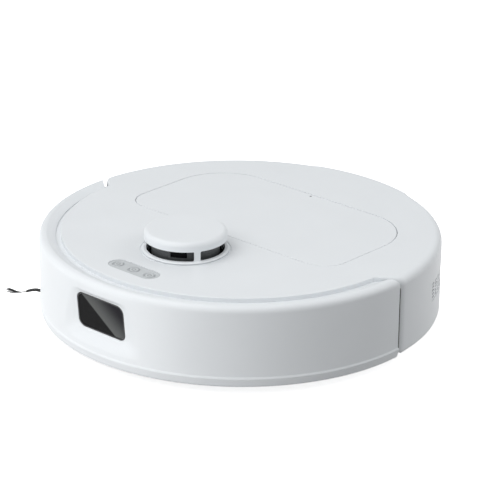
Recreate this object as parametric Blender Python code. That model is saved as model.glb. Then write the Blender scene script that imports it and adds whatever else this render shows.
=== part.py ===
"""Robot vacuum cleaner with a laser turret, modelled piece by piece. Metres, +Z up, front faces -Y."""

import math

import bmesh
import bpy
from mathutils import Matrix, Vector

# ---- driving dimensions: whole machine ----
BODY_R = 0.175           # outer radius of the round body
DECK_Z = 0.080           # top of the flat deck
TURRET_RISE = 0.019      # top of the laser turret above the deck
BASE_Z = 0.010           # underside of the base plate above the floor
LIP_Z = 0.009            # lowest edge of the bumper
GAP = 0.0003             # air between pieces that touch
SHELL = 0.0025           # wall of the outer mouldings
INNER_WALL = 0.0018      # wall of the inner mouldings

# ---- bumper ----
BUMPER_DEPTH = 0.0195
FRONT_R = BODY_R - BUMPER_DEPTH  # deck edge behind the bumper
BUMPER_SPAN = math.radians(92.4)
BUMPER_STEP = BUMPER_SPAN / 30
WALL_START = math.radians(94.0)
FLARE_START = math.radians(87.0)
BUMPER_TRAVEL = 0.0035
BUMPER_SLOT = 0.0042     # gap between deck edge and bumper top
BAND_Z = 0.018           # top of the lower band
BAND_STEP = 0.0008
BUMPER_FILLET = 0.006
LEVER_ANGLE = math.radians(38)
LEVER_LENGTH = 0.0135

# ---- front window ----
WINDOW_W = 0.054
WINDOW_LOW = 0.034
WINDOW_HIGH = 0.0655
WINDOW_SET_BACK = 0.0055
WINDOW_Y = WINDOW_SET_BACK - BODY_R
WINDOW_CORNER = 0.006
WINDOW_LEAN = 0.09       # how far the top leans out for each unit of height
WINDOW_T = 0.0016
FUNNEL_W = 0.098
FUNNEL_LOW = 0.0225
FUNNEL_HIGH = 0.0695

# ---- deck and lid ----
SIDE_FILLET = 0.007
TAIL_FILLET = 0.0044
TAIL_ANGLE = math.radians(162)
SKIRT_LOW = 0.0205
WALL_LOW = 0.0115
LID_HALF = 0.118
LID_FRONT = -0.022
LID_REAR = 0.1025
LID_CORNER = 0.022
LID_REAR_CORNER = 0.050
PINHOLE_X = -0.0045
LID_T = 0.0022
LID_GAP = 0.00035
TRAY_RIM = 0.0045        # ledge that the lid rests on
TRAY_DEPTH = 0.0083
TRAY_LOW = DECK_Z - TRAY_DEPTH

# ---- main brush ----
BRUSH_Y = -0.016
BRUSH_R = 0.0212
BRUSH_ABOVE_FLOOR = 0.0013
BRUSH_Z = BRUSH_R + BRUSH_ABOVE_FLOOR
BRUSH_CORE_R = 0.0110
BRUSH_LEFT = -0.0775
BRUSH_RIGHT = 0.0730
BRUSH_FINS = 6
BRUSH_TWIST = math.radians(75)
CHAMBER_CLEAR = 0.0015
GUARD_HALF = 0.0840
GUARD_MOUTH = 0.0008      # mouth edge beyond the brush
GUARD_BAR = 0.0120
GUARD_FRONT = BRUSH_Y - BRUSH_R - GUARD_MOUTH - GUARD_BAR
GUARD_REAR = BRUSH_Y + BRUSH_R + GUARD_MOUTH + 0.0070
GUARD_T = 0.0024

# ---- dust bin ----
BIN_HALF = 0.0830
BIN_LENGTH = 0.0765
BIN_FRONT = BRUSH_Y + BRUSH_R + CHAMBER_CLEAR + INNER_WALL + 0.0065
BIN_REAR = BIN_FRONT + BIN_LENGTH
BIN_LOW = 0.0350
BIN_HIGH = TRAY_LOW - 0.0012
BIN_COVER_T = 0.0027
BIN_CLEAR = 0.0020

# ---- laser turret ----
TURRET_Y = -0.0685
CAP_R = 0.0355
RING_R = 0.0372
TURRET_HOLE_R = 0.0335
TURRET_WALL = 0.0018
TURRET_Z = DECK_Z + TURRET_RISE
SLIT_LOW = DECK_Z + 0.0020
SLIT_HEIGHT = 0.0088
SLIT_HIGH = SLIT_LOW + SLIT_HEIGHT
PILLAR_ANGLES = (-60, 60, 180)
PILLAR_WIDTH = math.radians(8.7)
ROTOR_R = 0.0290
LENS_HEADING = math.radians(32)
LENS_HALF = 0.012
LENS_DEPTH = 0.004
BELT_R = 0.0260
BELT_T = 0.0010
PULLEY_R = 0.0040
LIDAR_MOTOR = (0.042, -0.0800)
LIDAR_DEPTH = 0.0145
LIDAR_BASE_LOW = DECK_Z - LIDAR_DEPTH
LIDAR_FLOOR = LIDAR_BASE_LOW + 0.0025
LIDAR_MOTOR_LENGTH = 0.0172

# ---- buttons ----
PANEL_Y = -0.1305
PANEL_L = 0.053
PANEL_W = 0.0175
BUTTON_PITCH = 0.018
BUTTON_R = 0.0039
BUTTON_CLEAR = 0.0003

# ---- drive wheels ----
WHEEL_Y = 0.004
WHEEL_R = 0.034
WHEEL_W = 0.016
TYRE_T = 0.006
RIM_R = WHEEL_R - TYRE_T
WELL_X = BIN_HALF + 0.0020
WELL_W = 0.0395
WHEEL_X = WELL_X + 0.0255
PIVOT_Y = WHEEL_Y - 0.038
PIVOT_Z = 0.046
PIVOT_R = 0.003
WELL_FRONT = PIVOT_Y - 0.0115
WELL_REAR = WHEEL_Y + WHEEL_R + 0.0075
ARM_X = WELL_X + 0.0065
ARM_T = 0.0095

# ---- side brush ----
SPEAKER = (-0.075, 0.118)
SIDE_BRUSH = (-0.098, -0.097)
SIDE_MOTOR_R = 0.0115
TUFT_REACH = 0.0765
TUFT_HEADING = math.radians(197)
TUFT_BEND = -0.012
TUFT_ROOT_Z = 0.0070
TUFT_TIP_Z = 0.0050

# ---- battery, fan and the rest ----
BATTERY_HALF = 0.0665
BATTERY_LENGTH = 0.042
BATTERY_REAR = GUARD_FRONT - 0.0065
BATTERY_FRONT = BATTERY_REAR - BATTERY_LENGTH
BATTERY_H = 0.0205
FAN = (0.060, 0.127)
FAN_R = 0.0270
FAN_LOW = 0.0200
FAN_HIGH = 0.0560
VENT_FROM = math.radians(111)
VENT_TO = math.radians(139)
VENT_LOW = 0.038
VENT_HIGH = 0.056
CONTACT_X = 0.022
CONTACT_Y = BODY_R - 0.032
CLIFF_SENSORS = ((-0.053, -0.132), (0.053, -0.132), (-0.147, 0.040), (0.147, 0.040))

# ---- caster ----
CASTER_BOWL_R = 0.0205
CASTER_Y = BATTERY_FRONT - CASTER_BOWL_R - 0.0030
CASTER_TRAIL = 0.005
CASTER_R = 0.0135
CASTER_W = 0.015

ARC_STEP = math.radians(6)
PLATE_TOP = BASE_Z + SHELL

# colour, roughness, metallic
FINISHES = {
    "white_shell": ((0.78, 0.80, 0.82), 0.38, 0.0),
    "grey_plastic": ((0.22, 0.23, 0.24), 0.50, 0.0),
    "button_grey": ((0.55, 0.57, 0.59), 0.45, 0.0),
    "black_plastic": ((0.020, 0.020, 0.022), 0.45, 0.0),
    "gloss_black": ((0.008, 0.008, 0.010), 0.08, 0.0),
    "rubber": ((0.030, 0.030, 0.032), 0.85, 0.0),
    "smoked_clear": ((0.12, 0.13, 0.14), 0.15, 0.0),
    "filter_paper": ((0.75, 0.74, 0.70), 0.90, 0.0),
    "board_green": ((0.02, 0.12, 0.06), 0.50, 0.0),
    "cell_wrap": ((0.03, 0.05, 0.12), 0.40, 0.0),
    "steel": ((0.55, 0.55, 0.56), 0.30, 1.0),
    "contact_nickel": ((0.72, 0.69, 0.62), 0.25, 1.0),
    "bristle": ((0.020, 0.020, 0.020), 0.80, 0.0),
    "brush_orange": ((0.55, 0.12, 0.03), 0.60, 0.0),
}


def clear_scene():
    for obj in list(bpy.data.objects):
        bpy.data.objects.remove(obj)


def finish(name):
    """The material of this name, made on first use."""
    found = bpy.data.materials.get(name)
    if found:
        return found
    colour, roughness, metallic = FINISHES[name]
    material = bpy.data.materials.new(name)
    material.use_nodes = True
    shader = material.node_tree.nodes["Principled BSDF"]
    shader.inputs["Base Color"].default_value = (*colour, 1.0)
    shader.inputs["Roughness"].default_value = roughness
    shader.inputs["Metallic"].default_value = metallic
    return material


# ---- outlines: lists of (x, y), counter-clockwise ----
def polar(radius, angle):
    """A point at this angle from the front, turning towards +X."""
    return (radius * math.sin(angle), -radius * math.cos(angle))


def arc(cx, cy, radius, start, end, steps):
    turn = (end - start) / steps
    return [
        (cx + radius * math.cos(start + turn * i), cy + radius * math.sin(start + turn * i))
        for i in range(steps + 1)
    ]


def circle(cx, cy, radius, steps=24):
    return arc(cx, cy, radius, 0, math.tau, steps)[:-1]


def rectangle(x0, x1, y0, y1):
    return [(x0, y0), (x1, y0), (x1, y1), (x0, y1)]


def rounded(x0, x1, y0, y1, radius, steps=5):
    quarter = math.pi / 2
    corners = ((x1, y0, -quarter), (x1, y1, 0), (x0, y1, quarter), (x0, y0, math.pi))
    points = []
    for x, y, start in corners:
        cx = x + math.copysign(radius, (x0 + x1) / 2 - x)
        cy = y + math.copysign(radius, (y0 + y1) / 2 - y)
        points += arc(cx, cy, radius, start, start + quarter, steps)
    return points


def capsule(cx, cy, length, width, steps=8):
    return rounded(
        cx - length / 2, cx + length / 2, cy - width / 2, cy + width / 2, width / 2 - 1e-5, steps
    )


def round_hull(big, big_r, small, small_r, steps=28):
    """The outline of a belt round two circles."""
    dx = small[0] - big[0]
    dy = small[1] - big[1]
    heading = math.atan2(dy, dx)
    half = math.acos((big_r - small_r) / math.hypot(dx, dy))
    near = arc(*small, small_r, heading - half, heading + half, max(4, steps // 4))
    far = arc(*big, big_r, heading + half, heading - half + math.tau, steps)
    return near + far


def body_outline(inset=0.0):
    """The deck seen from above: a smaller front arc that flares out to the full body."""

    def radius(angle):
        share = (abs(angle) - FLARE_START) / (WALL_START - FLARE_START)
        share = min(max(share, 0.0), 1.0)
        return FRONT_R + (BODY_R - FRONT_R) * share * share * (3 - 2 * share) - inset

    flare = [FLARE_START + (WALL_START - FLARE_START) * i / 6 for i in range(7)]
    front_steps = round(2 * FLARE_START / ARC_STEP)
    front = [-FLARE_START + 2 * FLARE_START * i / front_steps for i in range(1, front_steps)]
    rear_steps = round((TAIL_ANGLE - WALL_START) / ARC_STEP)
    side = [WALL_START + (TAIL_ANGLE - WALL_START) * i / rear_steps for i in range(1, rear_steps)]
    tail_steps = round(2 * (math.pi - TAIL_ANGLE) / ARC_STEP)
    tail = [
        TAIL_ANGLE + 2 * (math.pi - TAIL_ANGLE) * i / tail_steps for i in range(tail_steps + 1)
    ]
    back = [math.tau - a for a in reversed(side)] + [math.tau - a for a in reversed(flare)]
    angles = front + flare + side + tail + back
    points = []
    for angle in angles:
        signed = angle if angle <= math.pi else angle - math.tau
        points.append(polar(radius(signed), angle))
    return points


# ---- solids ----
def new_object(name, mesh, material, smooth_angle=35):
    obj = bpy.data.objects.new(name, mesh)
    bpy.context.scene.collection.objects.link(obj)
    if material:
        mesh.materials.append(finish(material))
        mesh.shade_smooth()
        mesh.set_sharp_from_angle(angle=math.radians(smooth_angle))
    return obj


def loft(name, rings, material=None, caps=True):
    """Joins rings of equally many points. With caps it closes both ends, else it closes the loop of rings."""
    bm = bmesh.new()
    rows = [[bm.verts.new(p) for p in ring] for ring in rings]
    count = len(rows[0])
    pairs = list(zip(rows, rows[1:]))
    if not caps:
        pairs.append((rows[-1], rows[0]))
    for low, high in pairs:
        for i in range(count):
            j = (i + 1) % count
            bm.faces.new((low[i], low[j], high[j], high[i]))
    if caps:
        bm.faces.new(list(reversed(rows[0])))
        bm.faces.new(rows[-1])
    bmesh.ops.recalc_face_normals(bm, faces=bm.faces)
    mesh = bpy.data.meshes.new(name)
    bm.to_mesh(mesh)
    bm.free()
    return new_object(name, mesh, material)


def prism(name, outline, low, high, material=None):
    rings = [[(x, y, z) for x, y in outline] for z in (low, high)]
    return loft(name, rings, material)


def prism_x(name, outline, low, high, material=None):
    """A prism along X, whose outline is in (y, z)."""
    rings = [[(x, y, z) for y, z in outline] for x in (low, high)]
    return loft(name, rings, material)


def box(name, low, high, material=None):
    return prism(name, rectangle(low[0], high[0], low[1], high[1]), low[2], high[2], material)


def turned(name, profile, material=None, centre=(0, 0, 0), axis="Z", steps=24):
    """A closed profile of (radius, height) spun all the way round an axis."""
    rings = []
    solid = min(radius for radius, _ in profile) <= 0
    for i in range(steps):
        angle = math.tau * i / steps
        ring = []
        for radius, height in profile:
            a = radius * math.cos(angle)
            b = radius * math.sin(angle)
            point = (a, b, height) if axis == "Z" else (height, a, b)
            ring.append(tuple(Vector(point) + Vector(centre)))
        rings.append(ring)
    obj = loft(name, rings, material, caps=False)
    if solid:
        bm = bmesh.new()
        bm.from_mesh(obj.data)
        bmesh.ops.remove_doubles(bm, verts=bm.verts, dist=1e-6)
        bmesh.ops.recalc_face_normals(bm, faces=bm.faces)
        bm.to_mesh(obj.data)
        bm.free()
    return obj


def cylinder(name, centre, radius, low, high, material=None, axis="Z", steps=20):
    """A plain round bar: low and high are measured along the axis."""
    if axis == "Z":
        return prism(name, circle(centre[0], centre[1], radius, steps), low, high, material)
    return prism_x(name, circle(centre[1], centre[2], radius, steps), low, high, material)


def swept_arc(name, profile, start, end, material=None, step=ARC_STEP):
    """A closed (radius, height) profile swept from one front angle to another."""
    count = max(1, round((end - start) / step))
    rings = []
    for i in range(count + 1):
        angle = start + (end - start) * i / count
        rings.append([(*polar(radius, angle), height) for radius, height in profile])
    return loft(name, rings, material)


def combine(target, other, operation):
    """Cuts other from target, or joins it on. The helper leaves the model."""
    modifier = target.modifiers.new(operation.lower(), "BOOLEAN")
    modifier.operation = operation
    modifier.object = other
    other.hide_render = True
    other.display_type = "WIRE"
    bpy.context.view_layer.update()
    graph = bpy.context.evaluated_depsgraph_get()
    result = bpy.data.meshes.new_from_object(target.evaluated_get(graph))
    target.modifiers.clear()
    old = target.data
    target.data = result
    bpy.data.meshes.remove(old)
    bpy.data.objects.remove(other)
    return target


def cut(target, *cutters):
    for cutter in cutters:
        combine(target, cutter, "DIFFERENCE")
    return target


def join(target, *extras):
    for extra in extras:
        combine(target, extra, "UNION")
    return target


def place_origin(obj, point):
    """Moves the object's origin to its joint, with the shape left where it is."""
    obj.data.transform(Matrix.Translation(-Vector(point)))
    obj.location = point


# ---- chassis ----
def well_box(side, grow=0.0):
    """The space over one drive wheel, as low and high corners."""
    x0, x1 = sorted((side * (WELL_X - grow), side * (WELL_X + WELL_W + grow)))
    low = (x0, WELL_FRONT - grow, PLATE_TOP + GAP)
    high = (x1, WELL_REAR + grow, TRAY_LOW - 2 * GAP)
    return low, high


def well_opening(side):
    """The hole that one wheel drops through."""
    low, high = well_box(side, -0.0016)
    return box("well_cut", (low[0], low[1], 0), (high[0], high[1], PLATE_TOP + 0.001))


def make_base_shell():
    inset = SHELL + GAP
    front_r = FRONT_R - inset
    rear_r = BODY_R - inset

    past = WALL_START - math.pi / 2

    def outline(extra):
        front = arc(0, 0, front_r - extra, math.pi - past, math.tau + past, 32)
        rear = arc(0, 0, rear_r - extra, past, math.pi - past, 28)
        return front + rear

    shell = prism("base_shell", outline(0), BASE_Z, SKIRT_LOW - GAP, "white_shell")
    cut(shell, prism("base_inside", outline(SHELL), PLATE_TOP, DECK_Z))
    cut(shell, well_opening(1), well_opening(-1))
    mouth = (-GUARD_HALF - GAP, GUARD_FRONT - GAP, 0)
    cut(shell, box("mouth_cut", mouth, (GUARD_HALF + GAP, GUARD_REAR + GAP, DECK_Z / 4)))
    cut(shell, cylinder("caster_cut", (0, CASTER_Y), CASTER_BOWL_R, 0, DECK_Z / 4))
    cut(shell, cylinder("side_brush_cut", SIDE_BRUSH, SIDE_MOTOR_R - 0.002, 0, DECK_Z / 4))
    door = battery_outline(GAP)
    cut(shell, prism("battery_cut", door, 0, DECK_Z / 4))
    for x, y in CLIFF_SENSORS:
        cut(shell, prism("cliff_cut", sensor_outline(x, y, GAP), 0, DECK_Z / 4))
    for side in (-1, 1):
        low, high = contact_corners(side, GAP)
        cut(shell, box("contact_cut", (low[0], low[1], 0), (high[0], high[1], DECK_Z / 4)))


def battery_outline(grow):
    return rounded(
        -BATTERY_HALF - grow,
        BATTERY_HALF + grow,
        BATTERY_FRONT - grow,
        BATTERY_REAR + grow,
        0.004 + grow,
        3,
    )


def sensor_outline(x, y, grow):
    half_l = 0.010 + grow
    half_w = 0.0045 + grow
    if abs(x) > abs(y):
        half_l, half_w = half_w, half_l
    return rounded(x - half_l, x + half_l, y - half_w, y + half_w, 0.003 + grow, 3)


def contact_corners(side, grow):
    x = side * CONTACT_X
    low = (x - 0.010 - grow, CONTACT_Y - 0.004 - grow, BASE_Z - 0.0006)
    high = (x + 0.010 + grow, CONTACT_Y + 0.004 + grow, PLATE_TOP)
    return low, high


def make_top_deck():
    """Deck, rear wall and the skirt behind the bumper in one moulding, open below."""
    count = len(body_outline())

    def fillet_at(point):
        angle = abs(math.atan2(point[0], -point[1]))
        if angle < FLARE_START:
            return 0.0010
        if angle < WALL_START:
            share = (angle - FLARE_START) / (WALL_START - FLARE_START)
            return 0.0010 + (SIDE_FILLET - 0.0010) * share
        return SIDE_FILLET if angle < TAIL_ANGLE - 1e-6 else TAIL_FILLET

    outline = body_outline()
    rings = [[(x, y, z) for x, y in body_outline(i)] for i, z in ((0.0015, WALL_LOW), (0, 0.014))]
    for step in range(5):
        turn = math.pi / 2 * step / 4
        ring = []
        for i in range(count):
            fillet = fillet_at(outline[i])
            scale = 1 - fillet * (1 - math.cos(turn)) / math.hypot(*outline[i])
            z = DECK_Z - fillet * (1 - math.sin(turn))
            ring.append((outline[i][0] * scale, outline[i][1] * scale, z))
        rings.append(ring)
    deck = loft("top_deck", rings, "white_shell")
    inner = body_outline(SHELL)
    inner_rings = [[(x, y, 0.0) for x, y in inner]]
    for step in range(3):
        turn = math.pi / 2 * step / 2
        ring = []
        for i in range(count):
            fillet = max(fillet_at(outline[i]) - SHELL, 0.0002)
            scale = 1 - fillet * (1 - math.cos(turn)) / math.hypot(*inner[i])
            z = DECK_Z - SHELL - fillet * (1 - math.sin(turn))
            ring.append((inner[i][0] * scale, inner[i][1] * scale, z))
        inner_rings.append(ring)
    cut(deck, loft("deck_inside", inner_rings))
    # the skirt behind the bumper ends above the base plate
    below = arc(0, 0, BODY_R + 0.01, math.pi / 2 * 3 - FLARE_START, math.pi / 2 * 3 + FLARE_START, 24)
    cut(deck, prism("skirt_cut", below + [(0.0, 0.0)], 0.0, SKIRT_LOW))
    lid = lid_outline(LID_GAP)
    cut(deck, prism("lid_cut", lid, DECK_Z - SHELL - 0.001, DECK_Z + 0.01))
    cut(deck, cylinder("turret_cut", (0, TURRET_Y), TURRET_HOLE_R, TRAY_LOW, SLIT_HIGH, steps=32))
    panel = capsule(0, PANEL_Y, PANEL_L + 2 * GAP, PANEL_W + 2 * GAP, 6)
    cut(deck, prism("panel_cut", panel, TRAY_LOW, SLIT_HIGH))
    module = module_corners(0.0010)
    cut(deck, box("module_cut", (module[0][0], -BODY_R, module[0][2]), module[1]))
    near = BODY_R - 0.015
    far = BODY_R + 0.015
    vent = [(near, VENT_LOW), (far, VENT_LOW), (far, VENT_HIGH), (near, VENT_HIGH)]
    cut(deck, swept_arc("vent_cut", vent, VENT_FROM, VENT_TO))
    low, high = rear_window_corners(GAP)
    cut(deck, box("rear_window_cut", (low[0], near, low[2]), (high[0], far, high[2])))


def lid_outline(grow):
    """The edge of the lid: tight corners in front and wide ones behind."""
    half = LID_HALF + grow
    low = LID_FRONT - grow
    high = LID_REAR + grow
    near = LID_CORNER + grow
    far = LID_REAR_CORNER + grow
    quarter = math.pi / 2
    corners = [
        (half - far, high - far, far, 0),
        (far - half, high - far, far, quarter),
        (near - half, low + near, near, 2 * quarter),
        (half - near, low + near, near, 3 * quarter),
    ]
    points = []
    for x, y, radius, start in corners:
        points += arc(x, y, radius, start, start + quarter, 7)
    return points


def make_service_lid():
    low_front = [(x, y + (0.003 if y < LID_FRONT + 0.001 else 0)) for x, y in lid_outline(0)]
    rings = [
        [(x, y, DECK_Z - LID_T) for x, y in low_front],
        [(x, y, DECK_Z - 0.0002) for x, y in lid_outline(0)],
        [(x, y, DECK_Z) for x, y in lid_outline(-0.0003)],
    ]
    lid = loft("service_lid", rings, "white_shell")
    pinhole_y = LID_REAR - 0.0035
    pinhole = cylinder("pinhole", (PINHOLE_X, pinhole_y), 0.0011, TRAY_LOW, SLIT_HIGH, steps=10)
    cut(lid, pinhole)
    place_origin(lid, (0, LID_FRONT, DECK_Z))


def make_bay_tray():
    top = DECK_Z - SHELL - GAP
    tray = prism("bay_tray", lid_outline(TRAY_RIM), TRAY_LOW, top, "grey_plastic")
    pocket = prism("tray_pocket", lid_outline(-TRAY_RIM), TRAY_LOW + INNER_WALL, DECK_Z)
    cut(tray, pocket)
    low = (-BIN_HALF - BIN_CLEAR, BIN_FRONT - BIN_CLEAR, BIN_LOW)
    cut(tray, box("bin_way", low, (BIN_HALF + BIN_CLEAR, BIN_REAR + BIN_CLEAR, DECK_Z)))


def make_dust_bin():
    body = box(
        "dust_bin", (-BIN_HALF, BIN_FRONT, BIN_LOW), (BIN_HALF, BIN_REAR, BIN_HIGH), "smoked_clear"
    )
    wall = INNER_WALL
    low = (-BIN_HALF + wall, BIN_FRONT + wall, BIN_LOW + wall)
    high = (BIN_HALF - wall, BIN_REAR - wall, DECK_Z)
    cut(body, box("bin_inside", low, high))
    mouth_low, mouth_high = mouth_corners()
    cut(body, box("bin_mouth", mouth_low, mouth_high))
    outlet = (-0.045, BIN_REAR - 0.005, BIN_LOW + 0.007)
    cut(body, box("bin_outlet", outlet, (0.045, BIN_REAR + 0.005, BIN_HIGH - 0.006)))
    filter_low = (-0.055, BIN_REAR - wall - 0.0055, BIN_LOW + wall + GAP)
    filter_high = (0.055, BIN_REAR - wall - GAP, BIN_HIGH - 0.001)
    box("bin_filter", filter_low, filter_high, "filter_paper")
    cover = box(
        "bin_cover",
        (-BIN_HALF, BIN_FRONT, BIN_HIGH + GAP),
        (BIN_HALF, BIN_REAR, BIN_HIGH + GAP + BIN_COVER_T),
        "grey_plastic",
    )
    grip = rounded(-0.024, 0.024, BIN_FRONT + 0.010, BIN_FRONT + 0.030, 0.008, 4)
    cut(cover, prism("grip_cut", grip, BIN_HIGH + GAP + BIN_COVER_T / 2, DECK_Z))


def mouth_corners():
    """The dust way between brush chamber and bin."""
    low = (-0.028, BRUSH_Y, BIN_LOW + INNER_WALL)
    high = (0.028, BIN_FRONT + 0.004, chamber_top() - INNER_WALL)
    return low, high


def chamber_top():
    return BRUSH_Z + BRUSH_R + CHAMBER_CLEAR + 2 * INNER_WALL


# ---- laser turret ----
def make_turret():
    hole = (0, TURRET_Y)
    ring = [(TURRET_HOLE_R, DECK_Z + GAP), (RING_R, DECK_Z + GAP), (RING_R, SLIT_LOW - 0.0005)]
    ring += [(RING_R - 0.0012, SLIT_LOW), (TURRET_HOLE_R, SLIT_LOW)]
    cover = turned("lidar_cover", ring, "white_shell", (*hole, 0), steps=32)
    fillet = 0.0035
    cap = [(0, SLIT_HIGH), (CAP_R - 0.0008, SLIT_HIGH), (CAP_R, SLIT_HIGH + 0.0010)]
    cap += [
        (CAP_R - fillet * (1 - math.cos(a)), TURRET_Z - fillet * (1 - math.sin(a)))
        for a in (0, math.pi / 6, math.pi / 3, math.pi / 2)
    ]
    cap += [(0, TURRET_Z)]
    join(cover, turned("cap", cap, None, (*hole, 0), steps=32))
    for degrees in PILLAR_ANGLES:
        heading = math.radians(degrees)
        pillar = [
            (TURRET_HOLE_R, SLIT_LOW - 0.0008),
            (TURRET_HOLE_R + TURRET_WALL, SLIT_LOW - 0.0008),
            (TURRET_HOLE_R + TURRET_WALL, SLIT_HIGH + 0.0006),
            (TURRET_HOLE_R, SLIT_HIGH + 0.0006),
        ]
        post = swept_arc("post", pillar, heading - PILLAR_WIDTH / 2, heading + PILLAR_WIDTH / 2)
        post.data.transform(Matrix.Translation((0, TURRET_Y, 0)))
        join(cover, post)

    belt_low = LIDAR_FLOOR + 0.0030
    belt_high = belt_low + 0.0030
    drum_low = belt_high + 0.0025
    rotor_top = SLIT_HIGH - 0.0008
    motor_r = PULLEY_R + 0.0045
    base_top = DECK_Z - SHELL - GAP
    outer = round_hull(hole, TURRET_HOLE_R, LIDAR_MOTOR, motor_r)
    base = prism("lidar_base", outer, LIDAR_BASE_LOW, base_top, "grey_plastic")
    inner = round_hull(hole, TURRET_HOLE_R - 0.0014, LIDAR_MOTOR, motor_r - 0.0014)
    cut(base, prism("base_pocket", inner, LIDAR_FLOOR, DECK_Z))
    join(base, cylinder("spindle", hole, 0.0030, LIDAR_FLOOR - 0.001, drum_low - 0.0005, steps=16))
    cut(base, cylinder("motor_shaft_way", LIDAR_MOTOR, 0.0022, 0.0, LIDAR_FLOOR + 0.001, steps=12))

    rotor = turned(
        "lidar_rotor",
        [
            (0, rotor_top),
            (ROTOR_R, rotor_top),
            (ROTOR_R, drum_low),
            (BELT_R - GAP, belt_high + 0.0005),
            (BELT_R - GAP, belt_low - 0.0005),
            (0.0033, belt_low - 0.0005),
            (0.0033, drum_low),
            (0, drum_low),
        ],
        "black_plastic",
        (*hole, 0),
        steps=28,
    )
    corners = []
    for across, outward in (
        (-LENS_HALF, ROTOR_R - LENS_DEPTH),
        (LENS_HALF, ROTOR_R - LENS_DEPTH),
        (LENS_HALF, ROTOR_R + LENS_DEPTH),
        (-LENS_HALF, ROTOR_R + LENS_DEPTH),
    ):
        x, y = polar(outward, LENS_HEADING)
        x += across * math.cos(LENS_HEADING)
        y += across * math.sin(LENS_HEADING) + TURRET_Y
        corners.append((x, y))
    cut(rotor, prism("lens_way", corners, SLIT_LOW + 0.0012, SLIT_HIGH - 0.0024))
    place_origin(rotor, (*hole, DECK_Z))
    flange_r = PULLEY_R + 0.0012
    flange_low = belt_low - 0.0020
    pulley = [(0.0, flange_low), (flange_r, flange_low), (flange_r, belt_low - 0.0006)]
    pulley += [(PULLEY_R - GAP, belt_low - 0.0003), (PULLEY_R - GAP, belt_high + 0.0008)]
    pulley += [(0.0, belt_high + 0.0008)]
    drive = turned("lidar_pulley", pulley, "grey_plastic", (*LIDAR_MOTOR, 0), steps=16)
    shaft_low = LIDAR_BASE_LOW - 0.0015
    join(drive, cylinder("shaft", LIDAR_MOTOR, 0.0010, shaft_low, flange_low + 0.001, steps=10))
    place_origin(drive, (*LIDAR_MOTOR, belt_low))
    belt = prism(
        "lidar_belt",
        round_hull(hole, BELT_R + BELT_T, LIDAR_MOTOR, PULLEY_R + BELT_T),
        belt_low,
        belt_high,
        "rubber",
    )
    cut(belt, prism("belt_inside", round_hull(hole, BELT_R, LIDAR_MOTOR, PULLEY_R), 0, DECK_Z))
    motor_low = LIDAR_BASE_LOW - GAP - LIDAR_MOTOR_LENGTH
    motor = cylinder("lidar_motor", LIDAR_MOTOR, 0.0080, motor_low, LIDAR_BASE_LOW - GAP, "steel")
    cut(motor, cylinder("motor_bore", LIDAR_MOTOR, 0.0014, shaft_low - 0.001, DECK_Z, steps=10))


# ---- buttons ----
def make_buttons():
    top = DECK_Z - 0.0004
    panel = prism(
        "button_panel", capsule(0, PANEL_Y, PANEL_L, PANEL_W, 6), DECK_Z - 0.0035, top, "button_grey"
    )
    flange_top = DECK_Z - SHELL - GAP
    flange = capsule(0, PANEL_Y, PANEL_L + 0.004, PANEL_W + 0.004, 6)
    join(panel, prism("flange", flange, flange_top - 0.0015, flange_top))
    for index, name in enumerate(("power_button", "home_button", "spot_button")):
        centre = ((index - 1) * BUTTON_PITCH, PANEL_Y)
        way = BUTTON_R + BUTTON_CLEAR
        cut(panel, cylinder("button_way", centre, way, TRAY_LOW, SLIT_HIGH, steps=20))
        button = cylinder(name, centre, BUTTON_R, DECK_Z - 0.0060, top + 0.0002, "button_grey")
        place_origin(button, (*centre, top))


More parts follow.
